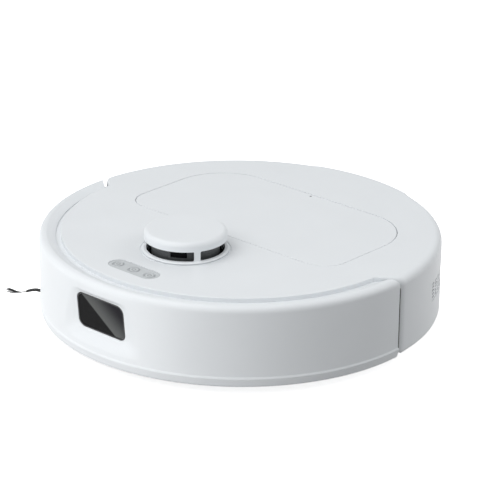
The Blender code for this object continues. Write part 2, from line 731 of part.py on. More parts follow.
# ---- bumper ----
def make_bumper():
    outer_r = BODY_R
    wall_r = outer_r - BAND_STEP
    slot_r = FRONT_R + BUMPER_SLOT
    crest = wall_r - BUMPER_FILLET
    flange_r = FRONT_R - GAP + BUMPER_TRAVEL
    profile = [(flange_r, LIP_Z + SHELL), (flange_r, LIP_Z)]
    profile += [(outer_r - SHELL - 0.0008, LIP_Z), (outer_r - 0.0006, LIP_Z + 0.0006)]
    profile += [(outer_r, LIP_Z + 0.004), (outer_r, BAND_Z - 0.0005), (wall_r, BAND_Z + 0.0003)]
    for i in range(5):
        turn = math.pi / 2 * i / 4
        profile.append(
            (crest + BUMPER_FILLET * math.cos(turn), DECK_Z - BUMPER_FILLET * (1 - math.sin(turn)))
        )
    profile += [(slot_r + 0.0006, DECK_Z - 0.0022), (slot_r, DECK_Z - 0.0028)]
    profile += [(slot_r, DECK_Z - 0.0050), (crest, DECK_Z - 0.0028)]
    inner_r = wall_r - SHELL
    for i in (3, 1):
        turn = math.pi / 2 * i / 4
        fillet = BUMPER_FILLET - SHELL
        profile.append((crest + fillet * math.cos(turn), DECK_Z - BUMPER_FILLET + fillet * math.sin(turn)))
    profile += [(inner_r, DECK_Z - BUMPER_FILLET), (inner_r, LIP_Z + SHELL)]
    shell = swept_arc("bumper", profile, -BUMPER_SPAN, BUMPER_SPAN, "white_shell", BUMPER_STEP)

    # a thick pad behind the window carries the flared recess
    pad = prism(
        "window_pad",
        [
            (-FUNNEL_W / 2 - 0.003, WINDOW_Y - 0.0025),
            (FUNNEL_W / 2 + 0.003, WINDOW_Y - 0.0025),
            (FUNNEL_W / 2 + 0.003, WINDOW_Y + 0.0045),
            (-FUNNEL_W / 2 - 0.003, WINDOW_Y + 0.0045),
        ],
        FUNNEL_LOW - 0.003,
        FUNNEL_HIGH + 0.003,
    )
    front = circle(0, 0, wall_r - 0.0002, 90)
    combine(pad, prism("pad_limit", front, 0, DECK_Z), "INTERSECT")
    join(shell, pad)
    mouth = leaning(FUNNEL_W / 2, FUNNEL_LOW, FUNNEL_HIGH, 0.010, -BODY_R - 0.001)
    seat = leaning(WINDOW_W / 2 + 0.0015, WINDOW_LOW - 0.001, WINDOW_HIGH + 0.001, 0.007, WINDOW_Y)
    cut(shell, loft("funnel", [mouth, seat]))
    pocket_y = (WINDOW_Y - 0.002, WINDOW_Y + WINDOW_T + GAP)
    pocket = [
        leaning(WINDOW_W / 2 + GAP, WINDOW_LOW - GAP, WINDOW_HIGH + GAP, WINDOW_CORNER, y)
        for y in pocket_y
    ]
    cut(shell, loft("window_pocket", pocket))
    ledge = 0.0020
    way = [
        leaning(WINDOW_W / 2 - ledge, WINDOW_LOW + ledge, WINDOW_HIGH - ledge, 0.004, y)
        for y in (WINDOW_Y - 0.002, WINDOW_Y + 0.010)
    ]
    cut(shell, loft("window_way", way))
    # room for the deck's flare at both ends
    keep_out = [(x, y - BUMPER_SLOT) for x, y in body_outline(-0.0006) if y > -0.03]
    keep_out = [(x, y) for x, y in keep_out if y < 0.06]
    right = sorted([p for p in keep_out if p[0] > 0], key=lambda p: p[1])
    for side in (-1, 1):
        outline = [(side * x, y) for x, y in right] + [(0, right[-1][1]), (0, right[0][1])]
        room = [(x, y, z) for z in (LIP_Z - 0.001, DECK_Z + 0.01) for x, y in outline]
        size = len(outline)
        cut(shell, loft("flare_room", [room[:size], room[size:]]))

    glass = [
        leaning(WINDOW_W / 2, WINDOW_LOW, WINDOW_HIGH, WINDOW_CORNER - GAP, y)
        for y in (WINDOW_Y, WINDOW_Y + WINDOW_T)
    ]
    loft("bumper_window", glass, "gloss_black")

    for side, name in ((-1, "bumper_lever_left"), (1, "bumper_lever_right")):
        pivot = lever_pivot(side)
        tip_heading = side * (LEVER_ANGLE + math.radians(50))
        tip = (
            pivot[0] + LEVER_LENGTH * math.sin(tip_heading),
            pivot[1] - LEVER_LENGTH * math.cos(tip_heading),
        )
        arm = round_hull(pivot, 0.0026, tip, 0.0016, 10)
        lever = prism(name, arm, 0.040, 0.046, "grey_plastic")
        place_origin(lever, (*pivot, 0.043))
        seat_x, seat_y = polar(FRONT_R - SHELL - 0.0065, side * LEVER_ANGLE)
        switch = name.replace("lever", "switch")
        body = rounded(seat_x - 0.005, seat_x + 0.005, seat_y - 0.004, seat_y + 0.004, 0.001, 2)
        prism(switch, body, 0.036, 0.050, "black_plastic")


def lever_pivot(side):
    return polar(FRONT_R + 0.0035, side * LEVER_ANGLE)


def leaning(half, low, high, radius, y):
    """A rounded rectangle that faces the front and leans with the window."""
    middle = (WINDOW_LOW + WINDOW_HIGH) / 2
    return [
        (x, y - WINDOW_LEAN * (z - middle), z)
        for x, z in rounded(-half, half, low, high, radius, 3)
    ]


def module_corners(grow):
    low = (-0.025 - grow, -FRONT_R + 0.0050 - grow, 0.038 - grow)
    high = (0.025 + grow, -0.134, 0.064 + grow)
    return low, high


def make_front_module():
    low, high = module_corners(0)
    module = box("front_sensor_module", (low[0], low[1], low[2]), high, "black_plastic")
    for x, radius in ((-0.016, 0.0055), (0.0, 0.0035), (0.016, 0.0055)):
        barrel = turned(
            "barrel",
            [
                (0, low[1] + 0.001),
                (radius, low[1] + 0.001),
                (radius, low[1] - 0.0030),
                (radius - 0.0012, low[1] - 0.0030),
                (radius - 0.0012, low[1] - 0.0010),
                (0, low[1] - 0.0010),
            ],
            steps=16,
        )
        turn = Matrix(((0, 1, 0, x), (0, 0, 1, 0), (1, 0, 0, 0.051), (0, 0, 0, 1)))
        barrel.data.transform(turn)
        bm = bmesh.new()
        bm.from_mesh(barrel.data)
        bmesh.ops.recalc_face_normals(bm, faces=bm.faces)
        bm.to_mesh(barrel.data)
        bm.free()
        join(module, barrel)


# ---- wheels ----
def make_drive(side, word):
    low, high = well_box(side)
    housing = box("wheel_housing_" + word, low, high, "black_plastic")
    wall = 0.0016
    room_low = (low[0] + wall, low[1] + wall, 0)
    cut(housing, box("room", room_low, (high[0] - wall, high[1] - wall, high[2] - wall)))
    pin = sorted((side * (WELL_X + 0.0005), side * (ARM_X + ARM_T + 0.0010)))
    pivot = (0, PIVOT_Y, PIVOT_Z)
    join(housing, cylinder("pin", pivot, PIVOT_R, *pin, axis="X", steps=14))

    arm_x = sorted((side * ARM_X, side * (ARM_X + ARM_T)))
    outline = round_hull((WHEEL_Y, WHEEL_R), 0.0165, (PIVOT_Y, PIVOT_Z), 0.0075, 20)
    arm = prism_x("suspension_arm_" + word, outline, *arm_x, "grey_plastic")
    bore = cylinder("bore", pivot, PIVOT_R + GAP, -0.2, 0.2, axis="X", steps=14)
    cut(arm, bore)
    axle_hole = cylinder("axle_hole", (0, WHEEL_Y, WHEEL_R), 0.0030, -0.2, 0.2, axis="X", steps=14)
    cut(arm, axle_hole)
    place_origin(arm, (side * WHEEL_X, PIVOT_Y, PIVOT_Z))

    inner = WHEEL_X - WHEEL_W / 2
    outer = WHEEL_X + WHEEL_W / 2
    hub_profile = [
        (0, side * (ARM_X + 0.002)),
        (0.0027, side * (ARM_X + 0.002)),
        (0.0027, side * inner),
        (RIM_R - GAP, side * inner),
        (RIM_R - GAP, side * outer),
        (RIM_R - 0.003, side * outer),
        (RIM_R - 0.005, side * (outer - 0.003)),
        (0.0080, side * (outer - 0.003)),
        (0.0060, side * outer),
        (0, side * outer),
    ]
    centre = (0, WHEEL_Y, WHEEL_R)
    hub = turned("wheel_hub_" + word, hub_profile, "grey_plastic", centre, "X", 24)
    place_origin(hub, (side * WHEEL_X, WHEEL_Y, WHEEL_R))
    tyre_profile = [
        (RIM_R, side * inner),
        (WHEEL_R - 0.0015, side * inner),
        (WHEEL_R, side * (inner + 0.002)),
        (WHEEL_R, side * (outer - 0.002)),
        (WHEEL_R - 0.0015, side * outer),
        (RIM_R, side * outer),
    ]
    tyre = turned("tyre_" + word, tyre_profile, "rubber", centre, "X", 32)
    place_origin(tyre, (side * WHEEL_X, WHEEL_Y, WHEEL_R))
    coil = (WELL_X + wall + GAP, ARM_X - GAP)
    spring_profile = [
        (radius, side * x)
        for radius, x in ((0.0035, coil[0]), (0.0062, coil[0]), (0.0062, coil[1]), (0.0035, coil[1]))
    ]
    turned("suspension_spring_" + word, spring_profile, "steel", pivot, "X", 16)


def make_caster():
    centre = (0, CASTER_Y, 0)
    top = 0.0355
    socket = turned(
        "caster_socket",
        [
            (CASTER_BOWL_R, PLATE_TOP + GAP),
            (CASTER_BOWL_R + 0.0017, PLATE_TOP + GAP),
            (CASTER_BOWL_R + 0.0017, top),
            (0, top),
            (0, top - 0.0010),
            (0.0033, top - 0.0010),
            (0.0033, 0.0318),
            (CASTER_BOWL_R, 0.0318),
        ],
        "black_plastic",
        centre,
        steps=28,
    )
    fork = cylinder("caster_fork", centre, 0.0145, 0.0285, 0.0308, "grey_plastic", steps=24)
    join(fork, cylinder("swivel", centre, 0.0030, 0.0300, 0.0340, steps=14))
    axle_y = CASTER_Y + CASTER_TRAIL
    for side in (-1, 1):
        x0, x1 = sorted((side * (CASTER_W / 2 + 0.0008), side * (CASTER_W / 2 + 0.0030)))
        cheek = box("cheek", (x0, axle_y - 0.0060, CASTER_R - 0.004), (x1, axle_y + 0.0040, 0.0290))
        join(fork, cheek)
    axle = cylinder(
        "axle", (0, axle_y, CASTER_R), 0.0016, -CASTER_W / 2 - 0.001, CASTER_W / 2 + 0.001, axis="X", steps=12
    )
    join(fork, axle)
    place_origin(fork, (0, CASTER_Y, 0.030))
    half = CASTER_W / 2
    wheel = turned(
        "caster_wheel",
        [
            (0.0020, -half),
            (CASTER_R - 0.003, -half),
            (CASTER_R, -half + 0.003),
            (CASTER_R, half - 0.003),
            (CASTER_R - 0.003, half),
            (0.0020, half),
        ],
        "rubber",
        (0, axle_y, CASTER_R),
        "X",
        28,
    )
    place_origin(wheel, (0, axle_y, CASTER_R))


# ---- brushes ----
def make_main_brush():
    wall = INNER_WALL
    top = chamber_top()
    half_y = BRUSH_R + CHAMBER_CLEAR + wall
    low = (BRUSH_LEFT - 0.0015 - 2 * wall, BRUSH_Y - half_y, PLATE_TOP + GAP)
    high = (BRUSH_RIGHT + 0.0015 + wall, BRUSH_Y + half_y, top)
    chamber = box("brush_chamber", low, high, "black_plastic")
    cavity_r = BRUSH_R + CHAMBER_CLEAR
    cavity = arc(BRUSH_Y, BRUSH_Z, cavity_r, 0, math.pi, 16)
    cavity += [(BRUSH_Y - cavity_r, 0.0), (BRUSH_Y + cavity_r, 0.0)]
    cut(chamber, prism_x("cavity", cavity, BRUSH_LEFT - 0.0015, BRUSH_RIGHT + 0.0015))
    mouth_low, mouth_high = mouth_corners()
    cut(chamber, box("dust_way", mouth_low, mouth_high))
    centre = (0, BRUSH_Y, BRUSH_Z)
    bearing = (BRUSH_LEFT - 0.0015 - wall, BRUSH_RIGHT + 0.01)
    cut(chamber, cylinder("bearing_holes", centre, 0.0033, *bearing, axis="X", steps=14))

    rings = []
    slices = 10
    for i in range(slices + 1):
        share = i / slices
        x = BRUSH_LEFT + (BRUSH_RIGHT - BRUSH_LEFT) * share
        twist = BRUSH_TWIST * abs(2 * share - 1)
        ring = []
        for fin in range(BRUSH_FINS):
            base = math.tau * fin / BRUSH_FINS + twist
            pitch = math.tau / BRUSH_FINS
            tip = 0.0011 / BRUSH_R
            root = 0.0016 / BRUSH_CORE_R
            for radius, turn in (
                (BRUSH_CORE_R, -root),
                (BRUSH_R, -tip),
                (BRUSH_R, tip),
                (BRUSH_CORE_R, root),
                (BRUSH_CORE_R, pitch / 2),
            ):
                a = base + turn
                ring.append((x, BRUSH_Y + radius * math.cos(a), BRUSH_Z + radius * math.sin(a)))
        rings.append(ring)
    brush = loft("main_brush", rings, "bristle")
    stubs = (BRUSH_LEFT - 0.0030, BRUSH_RIGHT + 0.0050)
    join(brush, cylinder("stubs", centre, 0.0030, *stubs, axis="X", steps=14))
    place_origin(brush, (0, BRUSH_Y, BRUSH_Z))

    slab_x = high[0] + GAP
    slab_low = (slab_x, low[1], PLATE_TOP + GAP)
    slab = box("brush_gearbox", slab_low, (slab_x + 0.0060, high[1], top + 0.012), "grey_plastic")
    can = cylinder(
        "can", (0, BRUSH_Y, top + 0.0068), 0.0065, slab_x - 0.046, slab_x + 0.001, axis="X", steps=20
    )
    join(slab, can)
    drive = cylinder("socket", centre, 0.0033, slab_x - 0.001, slab_x + 0.004, axis="X", steps=14)
    cut(slab, drive)

    guard_low = BASE_Z - 0.0003
    frame = box(
        "brush_guard",
        (-GUARD_HALF, GUARD_FRONT, guard_low),
        (GUARD_HALF, GUARD_REAR, guard_low + GUARD_T),
        "grey_plastic",
    )
    mouth = (BRUSH_LEFT - 0.0005, BRUSH_Y - BRUSH_R - 0.0008, 0)
    cut(frame, box("mouth", mouth, (BRUSH_RIGHT + 0.0005, BRUSH_Y + BRUSH_R + 0.0008, 0.05)))
    for side, name in ((-1, "guard_latch_left"), (1, "guard_latch_right")):
        x = side * 0.050
        bar_rear = BRUSH_Y - BRUSH_R - 0.0008
        slot = (x - 0.0065, GUARD_FRONT + 0.0020, 0)
        cut(frame, box("slot", slot, (x + 0.0065, bar_rear - 0.0020, 0.05)))
        low_corner = (x - 0.0062, GUARD_FRONT + 0.0023, guard_low + 0.0002)
        high_corner = (x + 0.0062, GUARD_FRONT + 0.0063, guard_low + GUARD_T - 0.0002)
        latch = box(name, low_corner, high_corner, "brush_orange")
        place_origin(latch, (x, GUARD_FRONT + 0.004, BASE_Z))


def make_side_brush():
    centre = (*SIDE_BRUSH, 0)
    brush = cylinder("side_brush", centre, 0.0105, 0.0045, 0.0088, "bristle", steps=20)
    join(brush, cylinder("spindle", centre, 0.0034, 0.0080, 0.0170, steps=14))
    for index in range(3):
        heading = TUFT_HEADING + math.tau * index / 3
        centre_line = []
        for i in range(7):
            share = i / 6
            reach = 0.006 + (TUFT_REACH - 0.006) * share
            bend = TUFT_BEND * math.sin(math.pi * share)
            x = SIDE_BRUSH[0] + reach * math.cos(heading) - bend * math.sin(heading)
            y = SIDE_BRUSH[1] + reach * math.sin(heading) + bend * math.cos(heading)
            half = 0.0030 - 0.0014 * share
            z = TUFT_ROOT_Z + (TUFT_TIP_Z - TUFT_ROOT_Z) * share
            centre_line.append((x, y, z, half))
        rings = []
        for x, y, z, half in centre_line:
            across = (-math.sin(heading) * half, math.cos(heading) * half)
            rings.append(
                [
                    (x - across[0], y - across[1], z - half * 0.6),
                    (x + across[0], y + across[1], z - half * 0.6),
                    (x + across[0], y + across[1], z + half * 0.6),
                    (x - across[0], y - across[1], z + half * 0.6),
                ]
            )
        join(brush, loft("tuft", rings))
    place_origin(brush, (*SIDE_BRUSH, 0.008))
    motor = cylinder("side_brush_motor", centre, SIDE_MOTOR_R, PLATE_TOP + GAP, 0.042, "grey_plastic")
    cut(motor, cylinder("motor_socket", centre, 0.0038, 0, 0.0185, steps=14))


# ---- power, air and sensors ----
def make_insides():
    door = battery_outline(0)
    prism("battery_door", door, BASE_Z, PLATE_TOP - GAP, "grey_plastic")
    pack = rounded(
        -BATTERY_HALF + 0.001,
        BATTERY_HALF - 0.001,
        BATTERY_FRONT + 0.001,
        BATTERY_REAR - 0.001,
        0.009,
        4,
    )
    prism("battery_pack", pack, PLATE_TOP + GAP, PLATE_TOP + BATTERY_H, "cell_wrap")
    board_low = chamber_top() + 0.0015
    board_high = board_low + 0.0016
    board = box("main_board", (-0.078, -0.0440, board_low), (0.018, 0.0090, board_high), "board_green")
    for x0, x1, y0, y1, height in (
        (-0.070, -0.048, -0.034, -0.012, 0.0050),
        (-0.040, -0.024, -0.030, -0.014, 0.0022),
        (-0.014, 0.006, -0.033, -0.025, 0.0065),
    ):
        join(board, box("chip", (x0, y0, board_low + 0.001), (x1, y1, board_high + height)))

    centre = (*FAN, 0)
    housing = cylinder("fan_housing", centre, FAN_R, FAN_LOW, FAN_HIGH, "black_plastic", steps=28)
    wall = INNER_WALL
    room_high = FAN_HIGH - 0.0060
    room = cylinder("room", centre, FAN_R - wall, FAN_LOW + 0.0110, room_high, steps=28)
    cut(housing, room)
    cut(housing, cylinder("inlet", centre, 0.0120, room_high - 0.001, FAN_HIGH + 0.001, steps=20))
    away = Vector(FAN).normalized()
    outlet = box("outlet", (0, -0.010, FAN_LOW + 0.014), (0.04, 0.010, room_high - 0.003))
    outlet.data.transform(
        Matrix.Translation((*FAN, 0)) @ Matrix.Rotation(math.atan2(away.y, away.x), 4, "Z")
    )
    cut(housing, outlet)
    disc_low = FAN_LOW + 0.0125
    impeller = cylinder("fan_impeller", centre, 0.0215, disc_low, disc_low + 0.0012, "grey_plastic")
    join(impeller, cylinder("nose", centre, 0.0055, disc_low, disc_low + 0.011, steps=16))
    for index in range(9):
        blade = box("blade", (0.004, -0.0005, disc_low + 0.0006), (0.0208, 0.0005, disc_low + 0.009))
        turn = Matrix.Rotation(math.tau * index / 9, 4, "Z")
        blade.data.transform(Matrix.Translation((*FAN, 0)) @ turn)
        join(impeller, blade)
    place_origin(impeller, (*FAN, disc_low))

    inner_r = BODY_R - SHELL
    bars = [(inner_r, VENT_LOW + GAP), (BODY_R - 0.0004, VENT_LOW + GAP)]
    bars += [(BODY_R - 0.0004, VENT_HIGH - GAP), (inner_r, VENT_HIGH - GAP)]
    edge = GAP / BODY_R
    grille = swept_arc("exhaust_grille", bars, VENT_FROM + edge, VENT_TO - edge, "grey_plastic")
    slots = 9
    for index in range(slots):
        heading = VENT_FROM + (VENT_TO - VENT_FROM) * (index + 0.5) / slots
        slot_low = (-0.0022, -BODY_R - 0.01, VENT_LOW + 0.002)
        slot = box("slot", slot_low, (0.0022, 0.01 - BODY_R, VENT_HIGH - 0.002))
        slot.data.transform(Matrix.Rotation(heading, 4, "Z"))
        cut(grille, slot)

    speaker = cylinder("speaker", SPEAKER, 0.018, 0.0135, 0.0260, "black_plastic")
    cut(speaker, cylinder("cone", SPEAKER, 0.014, 0.0235, 0.030, steps=20))

    low, high = rear_window_corners(0)
    box("rear_window", low, high, "gloss_black")
    for side, name in ((-1, "charge_contact_left"), (1, "charge_contact_right")):
        low, high = contact_corners(side, 0)
        box(name, low, high, "contact_nickel")
    names = ("front_left", "front_right", "side_left", "side_right")
    for (x, y), word in zip(CLIFF_SENSORS, names):
        outline = sensor_outline(x, y, 0)
        prism("cliff_sensor_" + word, outline, BASE_Z + 0.0002, BASE_Z + 0.009, "gloss_black")


def rear_window_corners(grow):
    low = (-0.020 - grow, BODY_R - SHELL - 0.0022, 0.040 - grow)
    high = (0.020 + grow, BODY_R - 0.0020, 0.056 + grow)
    return low, high


def main():
    clear_scene()
    make_base_shell()
    make_top_deck()
    make_service_lid()
    make_bay_tray()
    make_dust_bin()
    make_turret()
    make_buttons()
    make_bumper()
    make_front_module()
    make_drive(-1, "left")
    make_drive(1, "right")
    make_caster()
    make_main_brush()
    make_side_brush()
    make_insides()


main()
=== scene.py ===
"""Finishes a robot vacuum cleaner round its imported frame: shapes, materials, light and camera."""

import math
import random

import bmesh
import bpy
from mathutils import Matrix, Vector


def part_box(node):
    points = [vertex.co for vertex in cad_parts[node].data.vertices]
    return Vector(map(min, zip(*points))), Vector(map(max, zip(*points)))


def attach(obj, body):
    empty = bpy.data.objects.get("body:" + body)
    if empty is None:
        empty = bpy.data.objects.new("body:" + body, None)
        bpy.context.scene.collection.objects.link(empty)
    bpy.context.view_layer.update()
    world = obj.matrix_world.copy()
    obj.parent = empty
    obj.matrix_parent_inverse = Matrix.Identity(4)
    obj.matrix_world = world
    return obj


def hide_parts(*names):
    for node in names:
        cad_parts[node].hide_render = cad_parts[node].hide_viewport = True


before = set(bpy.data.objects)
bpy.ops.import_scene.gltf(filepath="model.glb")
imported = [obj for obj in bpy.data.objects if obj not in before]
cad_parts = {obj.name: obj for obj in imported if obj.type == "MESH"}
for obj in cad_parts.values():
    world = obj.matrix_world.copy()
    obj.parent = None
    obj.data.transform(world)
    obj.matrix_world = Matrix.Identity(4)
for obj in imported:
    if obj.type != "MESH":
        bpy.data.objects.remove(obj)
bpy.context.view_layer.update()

bl_info = {
    "name": "Robot Vacuum Finisher",
    "version": (1, 0, 0),
    "blender": (4, 5, 0),
    "location": "3D View > Sidebar > Vacuum",
    "description": "Builds the shells, turret, buttons, brushes and wheels of a robot vacuum",
    "category": "Object",
}

# ---- sizes shared by several pieces, in metres; +Z is up and the front faces -Y ----
DECK_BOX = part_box("top_deck")
BODY_R = DECK_BOX[1].y
DECK_Z = DECK_BOX[1].z
FRONT_R = 0.1555
SHELL = 0.0025
FLARE_FROM = math.radians(87)
FLARE_TO = math.radians(94)
TAIL_FROM = math.radians(162)
BUMPER_SPAN = math.radians(92.4)
BUMPER_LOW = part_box("bumper")[0].z
BUMPER_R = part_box("bumper")[1].x
WINDOW_LOW, WINDOW_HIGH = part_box("bumper_window")
WINDOW_LEAN = 0.09  # how far the window's top leans out for each unit of height
TURRET_LOW, TURRET_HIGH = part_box("lidar_cover")
TURRET_Y = (TURRET_LOW.y + TURRET_HIGH.y) / 2
SLIT_LOW = DECK_Z + 0.0020
SLIT_HIGH = SLIT_LOW + 0.0088
PANEL_Y = -0.1305
CREST = 0.006
WALL_R = BODY_R - 0.0008
SLOT_FLOOR = DECK_Z - 0.0042  # ledge that closes the slot behind the bumper
FRONT_FILLET = 0.0010  # rounding of the deck's top edge, behind the bumper,
SIDE_FILLET = 0.0070  # at the sides
TAIL_FILLET = 0.0044  # and at the tail
RECESS_HALF = 0.0490  # the bumper's soft recess round the window
RECESS_LOW = 0.0225
RECESS_HIGH = 0.0697
RECESS_CORNER = 0.012
# Painted shade: section of the dark strip that stands in for the shade in the gap behind each
# bumper end.
GAP_SHADE_SECTION = (  # (depth from the deck's wall, height) round the strip's section
    (-0.0008, 0.0135),
    (0.0001, 0.0135),
    (0.0004, 0.0142),
    (0.0004, 0.0690),
    (0.0001, 0.0705),
    (-0.0008, 0.0705),
)
LID_CORNER = 0.022
LID_REAR_CORNER = 0.050
PINHOLE_X = -0.0045
PINHOLE_R = 0.0011
TURRET_CAP_R = 0.0355
TURRET_WALL_R = 0.0353
TURRET_HOLE_R = 0.0335
LENS_HEADING = math.radians(32)
PANEL_SIZE = (0.053, 0.0175)
PANEL_ROOM = (0.0534, 0.0179)
VENT_FROM = math.radians(111)
VENT_TO = math.radians(139)
SIDE_BRUSH_X = -0.098
SIDE_BRUSH_Y = -0.097
ARM_ROOT = 0.006  # where an arm of the side brush leaves the axis, and how far it reaches
ARM_REACH = 0.0785
ARM_ROOT_Z = 0.0070
ARM_LEVEL = 0.0062  # height that the outer half of an arm swings about
ARM_SAG = 0.0016
ARM_SAG_CREST = 0.64  # share of the reach where the sag is highest, and its wave length
ARM_SAG_LENGTH = 0.42
ARM_HEADING = math.radians(197)
ARM_BEND = -0.012
RUBBER_END = 0.76  # share of the reach where the rubber ends and where the strands start
STRANDS_START = 0.70
TYRE_T = 0.006
BRUSH_CORE_R = 0.0110
BRUSH_FINS = 6
BRUSH_TWIST = math.radians(75)
STRANDS_IN_TUFT = 7
SPRING_WIRE = 0.00055
SPRING_TURNS = 3.2
FILTER_FOLDS = 34
SCREW_PLACES = (
    (-0.020, -0.142),
    (0.020, -0.142),
    (-0.140, 0.052),
    (0.140, 0.052),
    (-0.092, 0.118),
    (0.092, 0.118),
    (0.0, 0.148),
    (0.118, -0.086),
)
FLOOR_HALF = 12.0
LIGHTS = (  # name, heading and elevation in degrees, distance, size, setting of its power
    ("bounce_light", -16, -14, 2.4, 1.6, "bounce_power"),
    ("key_light", -16, 55, 2.4, 2.6, "key_power"),
    ("rear_light", 135, 30, 2.0, 1.2, "rear_power"),
)
CAMERA_ROLL = math.radians(0.490)
CAMERA_AIM_Z = 0.0435
CAMERA_SHIFT = (0.02054, 0.03158)


# ---- settings a user would change ----
class VacuumSizes(bpy.types.PropertyGroup):
    """Sizes of the small details"""

    edge: bpy.props.FloatProperty(
        name="Edge Rounding",
        description="Radius on the edges of the mouldings",
        default=0.0003,
        min=0.0,
        max=0.001,
        precision=5,
        unit="LENGTH",
    )
    slit_corner: bpy.props.FloatProperty(
        name="Slit Corner",
        description="Corner radius of the slits round the turret",
        default=0.0013,
        min=0.0002,
        max=0.004,
        precision=5,
        unit="LENGTH",
    )
    tread_depth: bpy.props.FloatProperty(
        name="Tread Depth",
        description="Depth of the grooves between the tyre lugs",
        default=0.0022,
        min=0.0,
        max=0.004,
        precision=5,
        unit="LENGTH",
    )
    tread_lugs: bpy.props.IntProperty(
        name="Tread Lugs", description="Lugs round one tyre", default=26, min=8, max=60
    )
    strands: bpy.props.IntProperty(
        name="Side Brush Strands",
        description="Strands in one arm of the side brush",
        default=24,
        min=4,
        max=80,
    )
    strand_width: bpy.props.FloatProperty(
        name="Strand Width",
        description="Diameter of one strand of the side brush",
        default=0.00042,
        min=0.0001,
        max=0.001,
        precision=5,
        unit="LENGTH",
    )
    tuft_pitch: bpy.props.FloatProperty(
        name="Tuft Pitch",
        description="Distance between two bristle tufts along the main brush",
        default=0.0042,
        min=0.002,
        max=0.01,
        precision=5,
        unit="LENGTH",
    )
    vent_rows: bpy.props.IntProperty(
        name="Vent Rows", description="Rows of slots in the exhaust vent", default=5, min=1, max=7
    )


def colour_setting(label, text, value):
    return bpy.props.FloatVectorProperty(
        name=label, description=text, default=value, size=3, min=0.0, max=1.0, subtype="COLOR"
    )


class VacuumColours(bpy.types.PropertyGroup):
    """Colours of the materials"""

    shell: colour_setting("Shell", "White outer mouldings", (0.795, 0.822, 0.845))
    trim: colour_setting("Trim", "Dark grey inner mouldings", (0.070, 0.073, 0.077))
    pale_trim: colour_setting("Pale Trim", "Light grey mouldings", (0.400, 0.415, 0.430))
    keys: colour_setting("Keys", "Button panel and buttons", (0.560, 0.585, 0.600))
    marks: colour_setting("Marks", "Symbols on the buttons", (0.130, 0.136, 0.142))
    black: colour_setting("Black", "Black mouldings", (0.016, 0.016, 0.018))
    drum: colour_setting("Drum", "Turning drum in the turret", (0.085, 0.090, 0.093))
    tyre: colour_setting("Tyre", "Tyres and brush rubber", (0.024, 0.024, 0.026))
    accent: colour_setting("Accent", "Latches of the brush guard", (0.560, 0.120, 0.030))
    smoke: colour_setting("Smoke", "Clear plastic of the dust bin", (0.300, 0.315, 0.330))


class VacuumStage(bpy.types.PropertyGroup):
    """Light and camera"""

    bounce_power: bpy.props.FloatProperty(
        name="Bounce Light", description="Power of the light off the floor", default=25.0, min=0.0
    )
    key_power: bpy.props.FloatProperty(
        name="Key Light", description="Power of the large high light", default=38.6, min=0.0
    )
    rear_power: bpy.props.FloatProperty(
        name="Rear Light", description="Power of the light from behind", default=7.0, min=0.0
    )
    sky_strength: bpy.props.FloatProperty(
        name="Surroundings", description="Strength of the pale surroundings", default=0.497, min=0.0
    )
    azimuth: bpy.props.FloatProperty(
        name="Camera Azimuth",
        description="Camera angle round the machine, from the front",
        default=math.radians(42.2015),
        unit="ROTATION",
    )
    elevation: bpy.props.FloatProperty(
        name="Camera Elevation",
        description="Camera angle above the floor",
        default=math.radians(22.6188),
        unit="ROTATION",
    )
    distance: bpy.props.FloatProperty(
        name="Camera Distance",
        description="Distance from the camera to the middle of the machine",
        default=2.0296,
        min=0.2,
        unit="LENGTH",
    )
    lens: bpy.props.FloatProperty(
        name="Focal Length", description="Focal length in millimetres", default=167.22, min=10.0
    )


# ---- points and outlines ----
def polar(radius, angle):
    """A point at this angle from the front, turning towards +X."""
    return (radius * math.sin(angle), -radius * math.cos(angle))


def smooth(share):
    share = min(max(share, 0.0), 1.0)
    return share * share * (3 - 2 * share)


def mix(a, b, share):
    return a + (b - a) * share


def arc(cx, cy, radius, start, end, steps):
    turn = (end - start) / steps
    return [
        (cx + radius * math.cos(start + turn * i), cy + radius * math.sin(start + turn * i))
        for i in range(steps + 1)
    ]


def circle(cx, cy, radius, steps=64):
    return arc(cx, cy, radius, 0, math.tau, steps)[:-1]


def rounded(x0, x1, y0, y1, radius, steps=8):
    quarter = math.pi / 2
    points = []
    for x, y, start in ((x1, y0, -quarter), (x1, y1, 0), (x0, y1, quarter), (x0, y0, math.pi)):
        cx = x + math.copysign(radius, (x0 + x1) / 2 - x)
        cy = y + math.copysign(radius, (y0 + y1) / 2 - y)
        points += arc(cx, cy, radius, start, start + quarter, steps)
    return points


def capsule(cx, cy, length, width, steps=12):
    half_l = length / 2
    half_w = width / 2
    return rounded(cx - half_l, cx + half_l, cy - half_w, cy + half_w, half_w - 1e-5, steps)


def rounded_distance(x, z, half, low, high, corner):
    """How far a point lies inside a rounded rectangle standing across Y; negative outside."""
    dx = abs(x) - (half - corner)
    dz = abs(z - (low + high) / 2) - ((high - low) / 2 - corner)
    outside = math.hypot(max(dx, 0.0), max(dz, 0.0))
    return corner - outside - min(max(dx, dz), 0.0)


# ---- meshes ----
def mesh_object(name, bm):
    bmesh.ops.recalc_face_normals(bm, faces=bm.faces)
    mesh = bpy.data.meshes.new(name)
    bm.to_mesh(mesh)
    bm.free()
    obj = bpy.data.objects.new(name, mesh)
    bpy.context.scene.collection.objects.link(obj)
    return obj


def add_rings(bm, rings, caps=True):
    """Skins rings of equally many points, closing both ends, or the loop of rings without caps."""
    rows = [[bm.verts.new(p) for p in ring] for ring in rings]
    pairs = list(zip(rows, rows[1:]))
    if not caps:
        pairs.append((rows[-1], rows[0]))
    for low, high in pairs:
        for i in range(len(low)):
            j = (i + 1) % len(low)
            bm.faces.new((low[i], low[j], high[j], high[i]))
    if caps:
        bm.faces.new(list(reversed(rows[0])))
        bm.faces.new(rows[-1])


def loft(name, rings, caps=True):
    bm = bmesh.new()
    add_rings(bm, rings, caps)
    return mesh_object(name, bm)


